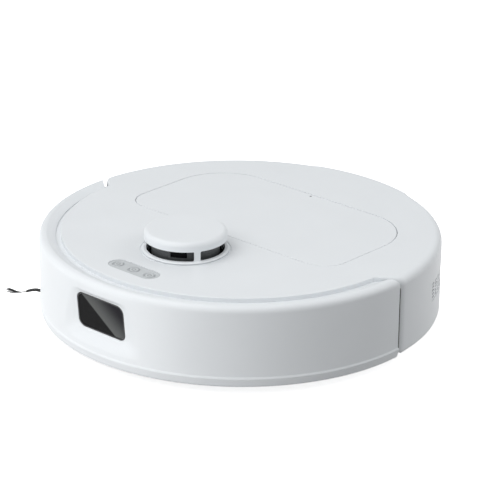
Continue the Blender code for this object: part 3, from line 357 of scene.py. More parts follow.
def prism(name, outline, low, high):
    return loft(name, [[(x, y, z) for x, y in outline] for z in (low, high)])


def standing(name, outline, near, far):
    """A solid with this (x, z) outline that runs along Y."""
    return loft(name, [[(x, y, z) for x, z in outline] for y in (near, far)])


def box(name, low, high):
    outline = [(low[0], low[1]), (high[0], low[1]), (high[0], high[1]), (low[0], high[1])]
    return prism(name, outline, low[2], high[2])


def turned(name, profile, centre=(0, 0, 0), axis="Z", steps=96):
    """A profile of (radius, height) spun round an axis. Points at radius 0 become poles."""
    bm = bmesh.new()
    rows = []
    for radius, height in profile:
        row = []
        for i in range(steps if radius > 1e-7 else 1):
            angle = math.tau * i / steps
            a = radius * math.cos(angle)
            b = radius * math.sin(angle)
            point = (a, b, height) if axis == "Z" else (height, a, b)
            row.append(bm.verts.new(Vector(point) + Vector(centre)))
        rows.append(row)
    ends = list(zip(rows, rows[1:]))
    if len(rows[0]) > 1 or len(rows[-1]) > 1:
        ends.append((rows[-1], rows[0]))
    for one, two in ends:
        for i in range(steps):
            j = (i + 1) % steps
            corners = [one[i % len(one)], one[j % len(one)], two[j % len(two)], two[i % len(two)]]
            face = list(dict.fromkeys(corners))
            if len(face) > 2:
                bm.faces.new(face)
    return mesh_object(name, bm)


def swept(name, profile, angles, centre=(0, 0)):
    """A closed (radius, height) profile swept round the Z axis through these angles."""
    rings = []
    for angle in angles:
        ring = []
        for radius, height in profile:
            x, y = polar(radius, angle)
            ring.append((x + centre[0], y + centre[1], height))
        rings.append(ring)
    return loft(name, rings)


def spread(start, end, step):
    count = max(1, math.ceil((end - start) / step - 1e-9))
    return [start + (end - start) * i / count for i in range(count + 1)]


def combine(target, others, operation="DIFFERENCE"):
    """Cuts or joins the helpers, which are used up."""
    for other in others:
        modifier = target.modifiers.new("combine", "BOOLEAN")
        modifier.operation = operation
        modifier.solver = "EXACT"
        modifier.object = other
    bpy.context.view_layer.update()
    graph = bpy.context.evaluated_depsgraph_get()
    result = bpy.data.meshes.new_from_object(target.evaluated_get(graph))
    target.modifiers.clear()
    old = target.data
    target.data = result
    bpy.data.meshes.remove(old)
    for other in others:
        unused = other.data
        bpy.data.objects.remove(other)
        bpy.data.meshes.remove(unused)


def gather(name, parts):
    """Puts separate closed shapes into one mesh."""
    bm = bmesh.new()
    for part in parts:
        bm.from_mesh(part.data)
        unused = part.data
        bpy.data.objects.remove(part)
        bpy.data.meshes.remove(unused)
    return mesh_object(name, bm)


def soften(piece, width, angle=32, segments=2):
    """Rounds the hard edges and evens out the shading."""
    if width > 0:
        bevel = piece.modifiers.new("edge_rounding", "BEVEL")
        bevel.width = width
        bevel.segments = segments
        bevel.limit_method = "ANGLE"
        bevel.angle_limit = math.radians(angle)
        bevel.miter_outer = "MITER_ARC"
        bevel.use_clamp_overlap = True
    shading = piece.modifiers.new("even_shading", "WEIGHTED_NORMAL")
    shading.keep_sharp = False
    shading.weight = 80


def fit(piece, material, body, slot, *nodes, edge=None):
    """Gives a new piece its material, soft edges and the body that it rides on."""
    piece.data.materials.clear()
    piece.data.materials.append(material)
    piece.data.shade_smooth()
    soften(piece, sizes().edge if edge is None else edge)
    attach(piece, body)
    if nodes:
        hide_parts(*nodes)


def dress(node, material, edge=None):
    """Keeps a frame part as it is, with its own material and softened edges."""
    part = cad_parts[node]
    for holder in part.material_slots:
        holder.material = material
    weld = part.modifiers.new("weld", "WELD")
    weld.merge_threshold = 2e-6
    soften(part, sizes().edge if edge is None else edge)


def sizes():
    return bpy.context.scene.vacuum_sizes


def colours():
    return bpy.context.scene.vacuum_colours


# ---- materials ----
class Recipe:
    """Adds and links the nodes of one material."""

    def __init__(self, name):
        self.material = bpy.data.materials.new(name)
        self.material.use_nodes = True
        self.tree = self.material.node_tree
        self.shader = self.tree.nodes["Principled BSDF"]
        self.place = self.tree.nodes.new("ShaderNodeTexCoord").outputs["Object"]

    def node(self, kind, **values):
        made = self.tree.nodes.new(kind)
        for key, value in values.items():
            setattr(made, key, value)
        return made

    def link(self, start, end):
        self.tree.links.new(start, end)

    def stretched(self, scale):
        mapping = self.node("ShaderNodeMapping")
        mapping.inputs["Scale"].default_value = scale
        self.link(self.place, mapping.inputs["Vector"])
        return mapping.outputs["Vector"]

    def noise(self, scale, detail=2.0, roughness=0.5, vector=None):
        made = self.node("ShaderNodeTexNoise")
        made.inputs["Scale"].default_value = scale
        made.inputs["Detail"].default_value = detail
        made.inputs["Roughness"].default_value = roughness
        self.link(vector or self.place, made.inputs["Vector"])
        return made.outputs["Fac"]

    def ranged(self, value, low, high, start=0.3, end=0.7):
        made = self.node("ShaderNodeMapRange")
        made.inputs["From Min"].default_value = start
        made.inputs["From Max"].default_value = end
        made.inputs["To Min"].default_value = low
        made.inputs["To Max"].default_value = high
        self.link(value, made.inputs["Value"])
        return made.outputs["Result"]

    def blend(self, share, first, second):
        """Mixes two colours; either may be a plain colour or another node's output."""
        made = self.node("ShaderNodeMix", data_type="RGBA")
        self.link(share, made.inputs[0])
        for socket, colour in ((made.inputs[6], first), (made.inputs[7], second)):
            if isinstance(colour, bpy.types.NodeSocket):
                self.link(colour, socket)
            else:
                socket.default_value = (*colour, 1.0)
        return made.outputs[2]

    def bump(self, height, strength, distance, below=None):
        made = self.node("ShaderNodeBump")
        made.inputs["Strength"].default_value = strength
        made.inputs["Distance"].default_value = distance
        self.link(height, made.inputs["Height"])
        if below:
            self.link(below, made.inputs["Normal"])
        return made.outputs["Normal"]

    def use(self, socket, value):
        if isinstance(value, bpy.types.NodeSocket):
            self.link(value, self.shader.inputs[socket])
        else:
            self.shader.inputs[socket].default_value = value


def shade(colour, factor):
    return tuple(min(1.0, part * factor) for part in colour)


def moulded(name, colour, rough, grain=1400, relief=0.12, mottle=0.03, **sockets):
    """Injection-moulded plastic: spark-eroded grain, faint flow variation, uneven gloss."""
    if name in bpy.data.materials:
        return bpy.data.materials[name]
    recipe = Recipe(name)
    flow = recipe.noise(22, 3.0)
    fine = recipe.noise(grain, 3.0, 0.6)
    tone = recipe.blend(
        recipe.ranged(flow, 0.0, 1.0), shade(colour, 1 - mottle), shade(colour, 1 + mottle / 2)
    )
    recipe.use("Base Color", tone)
    recipe.use("Roughness", recipe.ranged(fine, rough - 0.05, rough + 0.05))
    recipe.use("Normal", recipe.bump(fine, relief, 0.00004))
    for socket, value in sockets.items():
        recipe.use(socket.replace("_", " "), value)
    return recipe.material


def white_shell():
    return moulded("white_moulding", colours().shell, 0.42, 1500, 0.10, 0.012)


def pale_trim():
    return moulded("pale_grey_moulding", colours().pale_trim, 0.48, 1300, 0.15, 0.03)


def dark_trim():
    return moulded("dark_grey_moulding", colours().trim, 0.46, 1300, 0.2, 0.06)


def black_trim():
    return moulded("black_moulding", colours().black, 0.42, 1300, 0.2, 0.10)


def key_plastic():
    return moulded("key_moulding", colours().keys, 0.44, 1800, 0.08, 0.02)


def mark_paint():
    return moulded("printed_mark", colours().marks, 0.55, 2500, 0.10, 0.05)


def drum_plastic():
    return moulded("drum_moulding", colours().drum, 0.38, 1500, 0.15, 0.10)


def accent_plastic():
    return moulded("latch_moulding", colours().accent, 0.40, 1500, 0.12, 0.05)


def sensor_glass():
    return moulded("sensor_glass", (0.006, 0.006, 0.008), 0.10, 600, 0.02, 0.20, Coat_Weight=0.6)


def lens_glass():
    colour = (0.004, 0.004, 0.005)
    return moulded("lens_glass", colour, 0.34, 700, 0.03, 0.2, Specular_IOR_Level=0.06)


def window_glass():
    """Smoked glass with a painted reflection: pale above a diagonal and fading to the right, black
    below it.
    """
    if "window_glass" in bpy.data.materials:
        return bpy.data.materials["window_glass"]
    recipe = Recipe("window_glass")
    split = recipe.node("ShaderNodeSeparateXYZ")
    recipe.link(recipe.place, split.inputs[0])
    across = recipe.ranged(split.outputs["X"], 0.0, 1.0, WINDOW_LOW.x, WINDOW_HIGH.x)
    height = recipe.ranged(split.outputs["Z"], 0.0, 1.0, WINDOW_LOW.z, WINDOW_HIGH.z)
    slope = recipe.node("ShaderNodeMath", operation="MULTIPLY_ADD")
    slope.inputs[1].default_value = 0.74
    recipe.link(height, slope.inputs[0])
    recipe.link(across, slope.inputs[2])
    # Painted reflection: this mask is 1 above the diagonal, where the pale painted reflection lies
    # on the black glass.
    over = recipe.ranged(slope.outputs[0], 0.0, 1.0, 0.79, 0.83)
    fade = recipe.node("ShaderNodeMapRange", interpolation_type="SMOOTHSTEP")
    fade.inputs["From Min"].default_value = 0.78
    fade.inputs["From Max"].default_value = 1.50
    recipe.link(slope.outputs[0], fade.inputs["Value"])
    cloud = recipe.ranged(recipe.noise(160, 2.0), 0.0, 1.0)
    dark = recipe.blend(cloud, (0.0040, 0.0040, 0.0043), (0.0062, 0.0062, 0.0066))
    # Painted reflection colour: pale near the diagonal, fading to dark towards the right.
    painted_reflection = recipe.blend(fade.outputs["Result"], (0.125, 0.130, 0.128), (0.012, 0.011, 0.015))
    recipe.use("Base Color", recipe.blend(over, dark, painted_reflection))
    recipe.use("Roughness", recipe.ranged(recipe.noise(700), 0.16, 0.22))
    recipe.use("Specular IOR Level", 0.05)
    return recipe.material


def tyre_rubber():
    """Matt rubber with a bloom of dust."""
    if "tyre_rubber" in bpy.data.materials:
        return bpy.data.materials["tyre_rubber"]
    recipe = Recipe("tyre_rubber")
    bloom = recipe.ranged(recipe.noise(260, 5.0, 0.65), 0.0, 1.0, 0.45, 0.75)
    fine = recipe.noise(2600, 2.0)
    tone = recipe.blend(bloom, colours().tyre, shade(colours().tyre, 1.9))
    recipe.use("Base Color", tone)
    recipe.use("Roughness", recipe.ranged(fine, 0.72, 0.90))
    recipe.use("Normal", recipe.bump(fine, 0.35, 0.00006))
    return recipe.material


def strand_nylon():
    """Nylon strands, a little paler where they catch dust."""
    if "strand_nylon" in bpy.data.materials:
        return bpy.data.materials["strand_nylon"]
    recipe = Recipe("strand_nylon")
    colour = (0.014, 0.014, 0.015)
    streak = recipe.ranged(recipe.noise(900, 2.0), 0.0, 1.0)
    recipe.use("Base Color", recipe.blend(streak, colour, shade(colour, 2.6)))
    recipe.use("Roughness", recipe.ranged(streak, 0.35, 0.60, 0.0, 1.0))
    recipe.use("Normal", recipe.bump(streak, 0.15, 0.00005))
    return recipe.material


def brushed_metal(name, colour, along=(1, 60, 60), rough=0.28):
    """Drawn metal with fine lines along one axis."""
    if name in bpy.data.materials:
        return bpy.data.materials[name]
    recipe = Recipe(name)
    lines = recipe.noise(60, 4.0, 0.6, recipe.stretched(along))
    tone = recipe.blend(recipe.ranged(lines, 0.0, 1.0), shade(colour, 0.82), colour)
    recipe.use("Base Color", tone)
    recipe.use("Metallic", 1.0)
    recipe.use("Roughness", recipe.ranged(lines, rough - 0.08, rough + 0.10))
    recipe.use("Normal", recipe.bump(lines, 0.12, 0.00004))
    return recipe.material


def steel():
    return brushed_metal("bare_steel", (0.52, 0.52, 0.53))


def nickel():
    return brushed_metal("plated_nickel", (0.70, 0.67, 0.60), (60, 2, 60), 0.22)


def smoked_plastic():
    """Clear smoked plastic of the dust bin."""
    if "smoked_plastic" in bpy.data.materials:
        return bpy.data.materials["smoked_plastic"]
    recipe = Recipe("smoked_plastic")
    haze = recipe.noise(55, 4.0)
    fine = recipe.noise(1800, 2.0)
    tint = colours().smoke
    recipe.use("Base Color", recipe.blend(recipe.ranged(haze, 0, 1), shade(tint, 0.9), tint))
    recipe.use("Roughness", recipe.ranged(haze, 0.10, 0.20))
    recipe.use("Transmission Weight", 0.75)
    recipe.use("IOR", 1.49)
    recipe.use("Normal", recipe.bump(fine, 0.05, 0.00003))
    return recipe.material


def filter_paper():
    """Fibrous pleated paper, dusty in the folds."""
    if "filter_paper" in bpy.data.materials:
        return bpy.data.materials["filter_paper"]
    recipe = Recipe("filter_paper")
    fibre = recipe.noise(700, 6.0, 0.7, recipe.stretched((1, 1, 0.25)))
    dust = recipe.ranged(recipe.noise(90, 4.0), 0.0, 1.0)
    paper = recipe.blend(dust, (0.74, 0.73, 0.69), (0.62, 0.60, 0.55))
    tone = recipe.blend(recipe.ranged(fibre, 0.0, 0.5), paper, (0.80, 0.79, 0.76))
    recipe.use("Base Color", tone)
    recipe.use("Roughness", recipe.ranged(fibre, 0.85, 0.97))
    recipe.use("Normal", recipe.bump(fibre, 0.5, 0.00010))
    return recipe.material


def board_lacquer():
    """Green lacquer over copper tracks."""
    if "board_lacquer" in bpy.data.materials:
        return bpy.data.materials["board_lacquer"]
    recipe = Recipe("board_lacquer")
    tracks = recipe.node("ShaderNodeTexBrick")
    tracks.inputs["Scale"].default_value = 260
    tracks.inputs["Mortar Size"].default_value = 0.05
    recipe.link(recipe.place, tracks.inputs["Vector"])
    copper = recipe.ranged(tracks.outputs["Fac"], 0.0, 1.0, 0.0, 1.0)
    recipe.use("Base Color", recipe.blend(copper, (0.012, 0.085, 0.040), (0.035, 0.190, 0.085)))
    recipe.use("Roughness", recipe.ranged(recipe.noise(400), 0.30, 0.45))
    recipe.use("Normal", recipe.bump(copper, 0.4, 0.00005))
    return recipe.material


def cell_wrap():
    """Shrink wrap over the battery cells."""
    if "cell_wrap" in bpy.data.materials:
        return bpy.data.materials["cell_wrap"]
    recipe = Recipe("cell_wrap")
    creases = recipe.noise(180, 5.0, 0.6, recipe.stretched((0.3, 1, 1)))
    depth = recipe.ranged(creases, 0.0, 1.0)
    tone = recipe.blend(depth, (0.022, 0.040, 0.105), (0.035, 0.060, 0.150))
    recipe.use("Base Color", tone)
    recipe.use("Roughness", recipe.ranged(creases, 0.22, 0.42))
    recipe.use("Normal", recipe.bump(creases, 0.35, 0.00020))
    return recipe.material


# ---- deck ----
def deck_radius(angle):
    share = smooth((abs(angle) - FLARE_FROM) / (FLARE_TO - FLARE_FROM))
    return mix(FRONT_R, BODY_R, share)


def deck_angles():
    """Angles once round the deck, closer together where the edge flares out."""
    step = math.radians(1.5)
    half = spread(0.0, FLARE_FROM, step)[:-1]
    half += spread(FLARE_FROM, FLARE_TO, step / 2)[:-1]
    half += spread(FLARE_TO, TAIL_FROM, step)[:-1]
    half += spread(TAIL_FROM, math.pi, step)
    return [-a for a in reversed(half[1:-1])] + half


def deck_fillet(angle):
    """Rounding of the deck's top edge: crisp behind the bumper, soft at the sides."""
    angle = abs(angle)
    if angle < FLARE_TO:
        share = smooth((angle - FLARE_FROM) / (FLARE_TO - FLARE_FROM))
        return mix(FRONT_FILLET, SIDE_FILLET, share)
    return mix(SIDE_FILLET, TAIL_FILLET, smooth((angle - TAIL_FROM + 0.03) / 0.06))


def deck_ring(angles, inset, level, turn=None, least=0.0):
    """One ring of the deck's wall; turn runs over the rounded edge from wall to top."""
    ring = []
    for angle in angles:
        radius = deck_radius(angle) - inset
        z = level
        if turn is not None:
            fillet = max(deck_fillet(angle) - least, 0.0003)
            radius -= fillet * (1 - math.cos(turn))
            z -= fillet * (1 - math.sin(turn))
        ring.append((*polar(radius, angle), z))
    return ring


def lid_outline(grow=0.0):
    """The edge of the lid: tight corners in front and wide ones behind."""
    low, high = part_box("service_lid")
    near = LID_CORNER + grow
    far = LID_REAR_CORNER + grow
    right = high.x + grow
    front = low.y - grow
    rear = high.y + grow
    quarter = math.pi / 2
    points = []
    for x, y, radius, start in (
        (right - far, rear - far, far, 0),
        (far - right, rear - far, far, quarter),
        (near - right, front + near, near, 2 * quarter),
        (right - near, front + near, near, 3 * quarter),
    ):
        points += arc(x, y, radius, start, start + quarter, 14)
    return points


def make_deck():
    angles = deck_angles()
    foot = DECK_BOX[0].z
    under = DECK_Z - SHELL
    turns = [math.pi / 2 * i / 7 for i in range(8)]
    rings = [deck_ring(angles, SHELL, under, turn, SHELL) for turn in reversed(turns)]
    rings.append(deck_ring(angles, SHELL, foot + 0.0010))
    rings.append(deck_ring(angles, SHELL - 0.0006, foot))
    rings.append(deck_ring(angles, 0.0015, foot))
    rings.append(deck_ring(angles, 0.0006, foot + 0.0008))
    rings.append(deck_ring(angles, 0.0, foot + 0.0025))
    rings += [deck_ring(angles, 0.0, DECK_Z, turn) for turn in turns]
    deck = loft("deck_shell", rings)
    reach = math.radians(87)
    skirt = [(0.0, 0.0)] + [polar(BODY_R + 0.01, a) for a in spread(-reach, reach, 0.06)]
    helpers = [prism("skirt_room", skirt, -0.001, 0.0205)]
    helpers.append(prism("lid_room", lid_outline(0.0006), under - 0.002, DECK_Z + 0.005))
    hole = circle(0, TURRET_Y, TURRET_HOLE_R, 96)
    helpers.append(prism("turret_room", hole, under - 0.002, DECK_Z + 0.005))
    groove = [(0.0381, DECK_Z - 0.0005), (0.0388, DECK_Z - 0.0005)]
    groove += [(0.0391, DECK_Z + 0.001), (0.0379, DECK_Z + 0.001)]
    helpers.append(turned("ring_groove", groove, (0, TURRET_Y, 0)))
    keys = capsule(0, PANEL_Y, *PANEL_ROOM, 16)
    helpers.append(prism("panel_room", keys, under - 0.002, DECK_Z + 0.005))
    low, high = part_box("front_sensor_module")
    grow = 0.001
    low_corner = (low.x - grow, -BODY_R, low.z - grow)
    helpers.append(box("module_room", low_corner, (high.x + grow, high.y, high.z + grow)))
    low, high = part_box("exhaust_grille")
    band = [(BODY_R - 0.012, low.z - 0.0003), (BODY_R + 0.012, low.z - 0.0003)]
    band += [(BODY_R + 0.012, high.z + 0.0003), (BODY_R - 0.012, high.z + 0.0003)]
    helpers.append(swept("vent_room", band, spread(VENT_FROM, VENT_TO, 0.026)))
    combine(deck, helpers)
    low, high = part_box("rear_window")
    outline = rounded(low.x - 0.0003, high.x + 0.0003, low.z - 0.0003, high.z + 0.0003, 0.0043)
    combine(deck, [standing("rear_window_room", outline, BODY_R - 0.012, BODY_R + 0.01)])
    reach = math.radians(89)
    ledge = [(FRONT_R - 0.001, SLOT_FLOOR - 0.0012), (FRONT_R + 0.0085, SLOT_FLOOR - 0.0012)]
    ledge += [(FRONT_R + 0.0085, SLOT_FLOOR), (FRONT_R - 0.001, SLOT_FLOOR)]
    combine(deck, [swept("slot_floor", ledge, spread(-reach, reach, 0.026))], "UNION")
    fit(deck, white_shell(), "root", "white_shell", "top_deck")


# ---- bumper ----
def window_y(z):
    """Where the leaning front face of the window lies at this height."""
    return WINDOW_LOW.y + WINDOW_LEAN * (WINDOW_HIGH.z - z)


def recess_share(x, z, grow=0.0):
    """0 on the bumper's own wall, 1 on the flat seat of the window."""
    low, high = RECESS_LOW - grow, RECESS_HIGH + grow
    inside = rounded_distance(x, z, RECESS_HALF + grow, low, high, RECESS_CORNER)
    if inside <= 0:
        return 0.0
    half = WINDOW_HIGH.x + 0.0012 + grow
    low = WINDOW_LOW.z - 0.0008 - grow
    seat = rounded_distance(x, z, half, low, WINDOW_HIGH.z + 0.0008 + grow, 0.0068 + grow)
    if seat >= 0:
        return 1.0
    share = inside / (inside - seat)
    return mix(share, smooth(share), 0.55)


def bumper_profile():
    """(radius, height, wall) round the section, where wall is 1 outside, -1 inside, else 0."""
    slot_r = FRONT_R + 0.0042
    crest = WALL_R - CREST
    lip = DECK_Z - 0.0034
    flange_r = FRONT_R + 0.0032
    floor = BUMPER_LOW
    band = 0.018
    inner_r = WALL_R - SHELL
    profile = [(flange_r, floor + SHELL, 0), (flange_r, floor, 0)]
    for turn in (0, math.pi / 6, math.pi / 3, math.pi / 2):
        r = BUMPER_R - 0.0026 + 0.0016 * math.sin(turn)
        profile.append((r, floor + 0.0016 * (1 - math.cos(turn)), 0))
    profile += [(BUMPER_R, band - 0.0018, 0), (BUMPER_R - 0.0001, band - 0.0012, 0)]
    profile += [(WALL_R + 0.0001, band - 0.0001, 0), (WALL_R, band + 0.0002, 0)]
    levels = spread(band + 0.0008, DECK_Z - CREST, 0.0010)
    profile += [(WALL_R, z, 1) for z in levels]
    for i in range(1, 11):
        turn = math.pi / 2 * i / 10
        profile.append((crest + CREST * math.cos(turn), DECK_Z - CREST * (1 - math.sin(turn)), 0))
    profile += [(crest - 0.0006, DECK_Z - 0.00004, 0), (crest - 0.0013, DECK_Z - 0.00020, 0)]
    profile += [(slot_r + 0.0003, lip, 0), (slot_r, lip - 0.0002, 0)]
    profile += [(slot_r, SLOT_FLOOR + 0.0003, 0), (crest, SLOT_FLOOR + 0.0003, 0)]
    inner_fillet = CREST - SHELL
    for i in (8, 6, 4, 2):
        turn = math.pi / 2 * i / 10
        z = DECK_Z - CREST + inner_fillet * math.sin(turn)
        profile.append((crest + inner_fillet * math.cos(turn), z, 0))
    profile += [(inner_r, z, -1) for z in reversed(levels)]
    profile.append((inner_r, floor + SHELL, 0))
    return profile


def make_bumper():
    near = math.radians(19.5)
    step = math.radians(1.5)
    angles = spread(-BUMPER_SPAN, -near, step)[:-1]
    angles += spread(-near, near, math.radians(0.33))
    angles += spread(near, BUMPER_SPAN, step)[1:]
    rings = []
    for angle in angles:
        ring = []
        for radius, z, wall in bumper_profile():
            x, y = polar(radius, angle)
            if wall == 1:
                y = max(y, mix(y, window_y(z), recess_share(x, z)))
            elif wall == -1:
                y = max(y, mix(y, window_y(z) + 0.0021, recess_share(x, z, 0.0012)))
            ring.append((x, y, z))
        rings.append(ring)
    shell = loft("bumper_shell", rings)
    half = WINDOW_HIGH.x + 0.0003
    low = WINDOW_LOW.z - 0.0003
    outline = rounded(-half, half, low, WINDOW_HIGH.z + 0.0003, 0.0069, 10)
    helpers = [standing("window_room", outline, -BODY_R - 0.001, WINDOW_HIGH.y + 0.010)]
    travel = 0.0042
    for side in (-1, 1):
        edge = []
        for angle in spread(math.radians(79), math.radians(101), 0.02):
            x, y = polar(deck_radius(angle) + 0.0006, angle)
            edge.append((side * x, y - travel))
        outline = edge + [(0.0, edge[-1][1]), (0.0, edge[0][1])]
        helpers.append(prism("flare_room", outline, BUMPER_LOW - 0.001, DECK_Z + 0.01))
    combine(shell, helpers)
    fit(shell, white_shell(), "bumper", "white_shell", "bumper", edge=0.0004)


def make_window():
    low, high = WINDOW_LOW, WINDOW_HIGH

    def outline(inset):
        corner = max(0.0066 - inset, 0.0010)
        return rounded(low.x + inset, high.x - inset, low.z + inset, high.z - inset, corner, 10)

    rim = [(0.0, 0.0002), (0.0002, 0.0), (0.0009, 0.0)]
    rim += [(0.0011, 0.0003), (0.0011, 0.0010), (0.0, 0.0010)]
    rings = [[(x, window_y(z) + back, z) for x, z in outline(inset)] for inset, back in rim]
    frame_ring = loft("window_frame", rings, caps=False)
    fit(frame_ring, black_trim(), "bumper", "gloss_black", edge=0)
    pane = [(0.0014, 0.0005), (0.0013, 0.0006), (0.0013, 0.0014)]
    rings = [[(x, window_y(z) + back, z) for x, z in outline(inset)] for inset, back in pane]
    glass = loft("window_pane", rings)
    fit(glass, window_glass(), "bumper", "gloss_black", "bumper_window", edge=0.0001)


def make_gap_shade_strips():
    """Painted shade: a dark strip on the deck behind each end of the bumper, standing in for the
    shade in the gap.
    """
    strips = []
    for side in (-1, 1):
        rings = []
        for angle in spread(math.radians(88.6), math.radians(92.5), 0.006):
            r = deck_radius(angle)
            ring = []
            for depth, z in GAP_SHADE_SECTION:
                x, y = polar(r + depth, angle)
                ring.append((side * x, y, z))
            rings.append(ring)
        strips.append(loft("seal", rings))
    fit(gather("gap_seals", strips), tyre_rubber(), "root", "black_plastic", edge=0)


# ---- lid ----
def make_lid():
    low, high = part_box("service_lid")
    edge = 0.0004
    rings = [[(x, y + 0.003 * smooth((low.y + 0.001 - y) * 1000), low.z) for x, y in lid_outline()]]
    for turn in (0, math.pi / 8, math.pi / 4, math.pi * 3 / 8, math.pi / 2):
        inset = edge * (1 - math.cos(turn))
        z = high.z - edge * (1 - math.sin(turn))
        rings.append([(x, y, z) for x, y in lid_outline(-inset)])
    lid = loft("lid_panel", rings)
    hole_y = high.y - 0.0035
    hole = circle(PINHOLE_X, hole_y, PINHOLE_R, 24)
    combine(lid, [prism("pinhole", hole, low.z - 0.001, high.z + 0.001)])
    fit(lid, white_shell(), "lid", "white_shell", "service_lid", edge=0.0001)
    rim = [(PINHOLE_R, low.z + 0.0004), (PINHOLE_R, high.z - 0.0003), (0.0007, high.z - 0.0003)]
    rim += [(0.0007, low.z + 0.0004)]
    eyelet = turned("lid_pinhole_rim", rim, (PINHOLE_X, hole_y, 0), steps=24)
    fit(eyelet, dark_trim(), "lid", "white_shell", edge=0)
    spot = circle(PINHOLE_X, hole_y, 0.0010, 20)
    floor = prism("lid_pinhole_floor", spot, low.z + 0.0002, low.z + 0.0006)
    fit(floor, black_trim(), "lid", "white_shell", edge=0)


# ---- turret ----
def turret_slit(start, end, corner):
    """The room of one slit, its ends rounded."""
    radius = TURRET_CAP_R
    reach = (end - start) * radius
    angles = [start + (end - start) * i / 60 for i in range(61)]
    ends = [corner / radius * i / 6 for i in range(1, 6)]
    angles = sorted(angles + [start + a for a in ends] + [end - a for a in ends])
    rings = []
    for angle in angles:
        along = (angle - start) * radius
        from_end = min(along, reach - along)
        inset = 0.0
        if from_end < corner:
            inset = corner - math.sqrt(max(corner**2 - (corner - from_end) ** 2, 0.0))
        ring = []
        for r, z in (
            (0.0325, SLIT_LOW + inset),
            (0.0385, SLIT_LOW + inset),
            (0.0385, SLIT_HIGH - inset),
            (0.0325, SLIT_HIGH - inset),
        ):
            x, y = polar(r, angle)
            ring.append((x, y + TURRET_Y, z))
        rings.append(ring)
    return loft("slit_room", rings)


def make_turret():
    base, top = TURRET_LOW.z, TURRET_HIGH.z
    ring_r = TURRET_HIGH.x
    cap_r, wall_r, hole_r = TURRET_CAP_R, TURRET_WALL_R, TURRET_HOLE_R
    fillet = 0.0040
    profile = [(0.0, SLIT_HIGH), (hole_r, SLIT_HIGH), (hole_r, base), (ring_r - 0.0003, base)]
    profile += [(ring_r, base + 0.0003), (ring_r, base + 0.0007), (ring_r - 0.0003, base + 0.0011)]
    profile += [(wall_r + 0.0006, SLIT_LOW - 0.0002), (wall_r + 0.0001, SLIT_LOW + 0.0002)]
    profile += [(wall_r, SLIT_LOW + 0.0006), (wall_r, SLIT_HIGH - 0.0004), (cap_r, SLIT_HIGH)]
    for i in range(11):
        turn = math.pi / 2 * i / 10
        r = cap_r - fillet * (1 - math.cos(turn))
        profile.append((r, top - fillet * (1 - math.sin(turn))))
    profile += [(cap_r * 0.6, top), (0.0, top)]
    cover = turned("turret_cover", profile, (0, TURRET_Y, 0), steps=128)
    half = math.radians(8.7) / 2
    corner = sizes().slit_corner
    posts = [math.radians(a) for a in (-60, 60, 180, 300)]
    combine(cover, [turret_slit(a + half, b - half, corner) for a, b in zip(posts, posts[1:])])
    fit(cover, white_shell(), "root", "white_shell", "lidar_cover", edge=0.0002)

    low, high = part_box("lidar_rotor")
    r = high.x
    mid = [(0.0033, low.z), (0.0257, low.z), (0.0257, low.z + 0.0040), (r - 0.0003, low.z + 0.0065)]
    drum = [(0.0, high.z - 0.0060), (0.0033, high.z - 0.0060)] + mid
    drum += [(r, low.z + 0.0069)]
    for z in (SLIT_LOW + 0.0012, SLIT_LOW + 0.0031, SLIT_LOW + 0.0050):
        drum += [(r, z - 0.0002), (r - 0.0002, z), (r, z + 0.0002)]
    drum += [(r, high.z - 0.0004), (r - 0.0004, high.z), (0.0, high.z)]
    rotor = turned("turret_drum", drum, (0, TURRET_Y, 0), steps=112)
    half = math.radians(14.5)
    for name, span, depth, material in (
        ("lens_room", half, 0.0040, None),
        ("turret_lens", half - 0.008, 0.0004, lens_glass),
    ):
        grow = 0.0 if material else 0.0003
        z0 = SLIT_LOW + 0.0012 - grow
        z1 = SLIT_HIGH - 0.0018 + grow
        outer = r + 0.002 if not material else r - depth
        section = [(r - 0.0040 - grow, z0), (outer, z0), (outer, z1), (r - 0.0040 - grow, z1)]
        angles = spread(LENS_HEADING - span, LENS_HEADING + span, 0.05)
        piece = swept(name, section, angles, (0, TURRET_Y))
        if material:
            fit(piece, material(), "turret_rotor", "gloss_black", edge=0.0002)
        else:
            combine(rotor, [piece])
    fit(rotor, drum_plastic(), "turret_rotor", "black_plastic", "lidar_rotor", edge=0.00015)


# ---- buttons ----
def stroke(name, points, width, low, high, closed=False):
    """A flat line of even width through the points."""
    rings = []
    count = len(points)
    for i, point in enumerate(points):
        before = points[i - 1] if closed or i > 0 else point
        after = points[(i + 1) % count] if closed or i < count - 1 else point
        along = Vector((after[0] - before[0], after[1] - before[1])).normalized()
        side = Vector((-along.y, along.x)) * width / 2
        a = (point[0] - side.x, point[1] - side.y)
        b = (point[0] + side.x, point[1] + side.y)
        rings.append([(*a, low), (*b, low), (*b, high), (*a, high)])
    return loft(name, rings, caps=not closed)


def button_mark(kind, x, y, low, high):
    """A plain symbol: a power sign, a house or a ring."""
    width = 0.00034
    parts = []
    if kind == "power":
        start = math.radians(90 + 38)
        sweep = arc(x, y, 0.00165, start, start + math.tau - math.radians(76), 28)
        parts.append(stroke("sign", sweep, width, low, high))
        parts.append(stroke("sign", [(x, y + 0.0004), (x, y + 0.0022)], width, low, high))
    elif kind == "home":
        roof = [(-0.0020, 0.0001), (0.0, 0.0019), (0.0020, 0.0001)]
        walls = [(-0.0013, 0.0000), (-0.0013, -0.0016), (0.0013, -0.0016), (0.0013, 0.0000)]
        for line in (roof, walls):
            points = [(x + dx, y + dy) for dx, dy in line]
            parts.append(stroke("sign", points, width, low, high))
    else:
        parts.append(stroke("sign", circle(x, y, 0.00160, 36), width, low, high, True))
    return gather(kind + "_mark", parts)


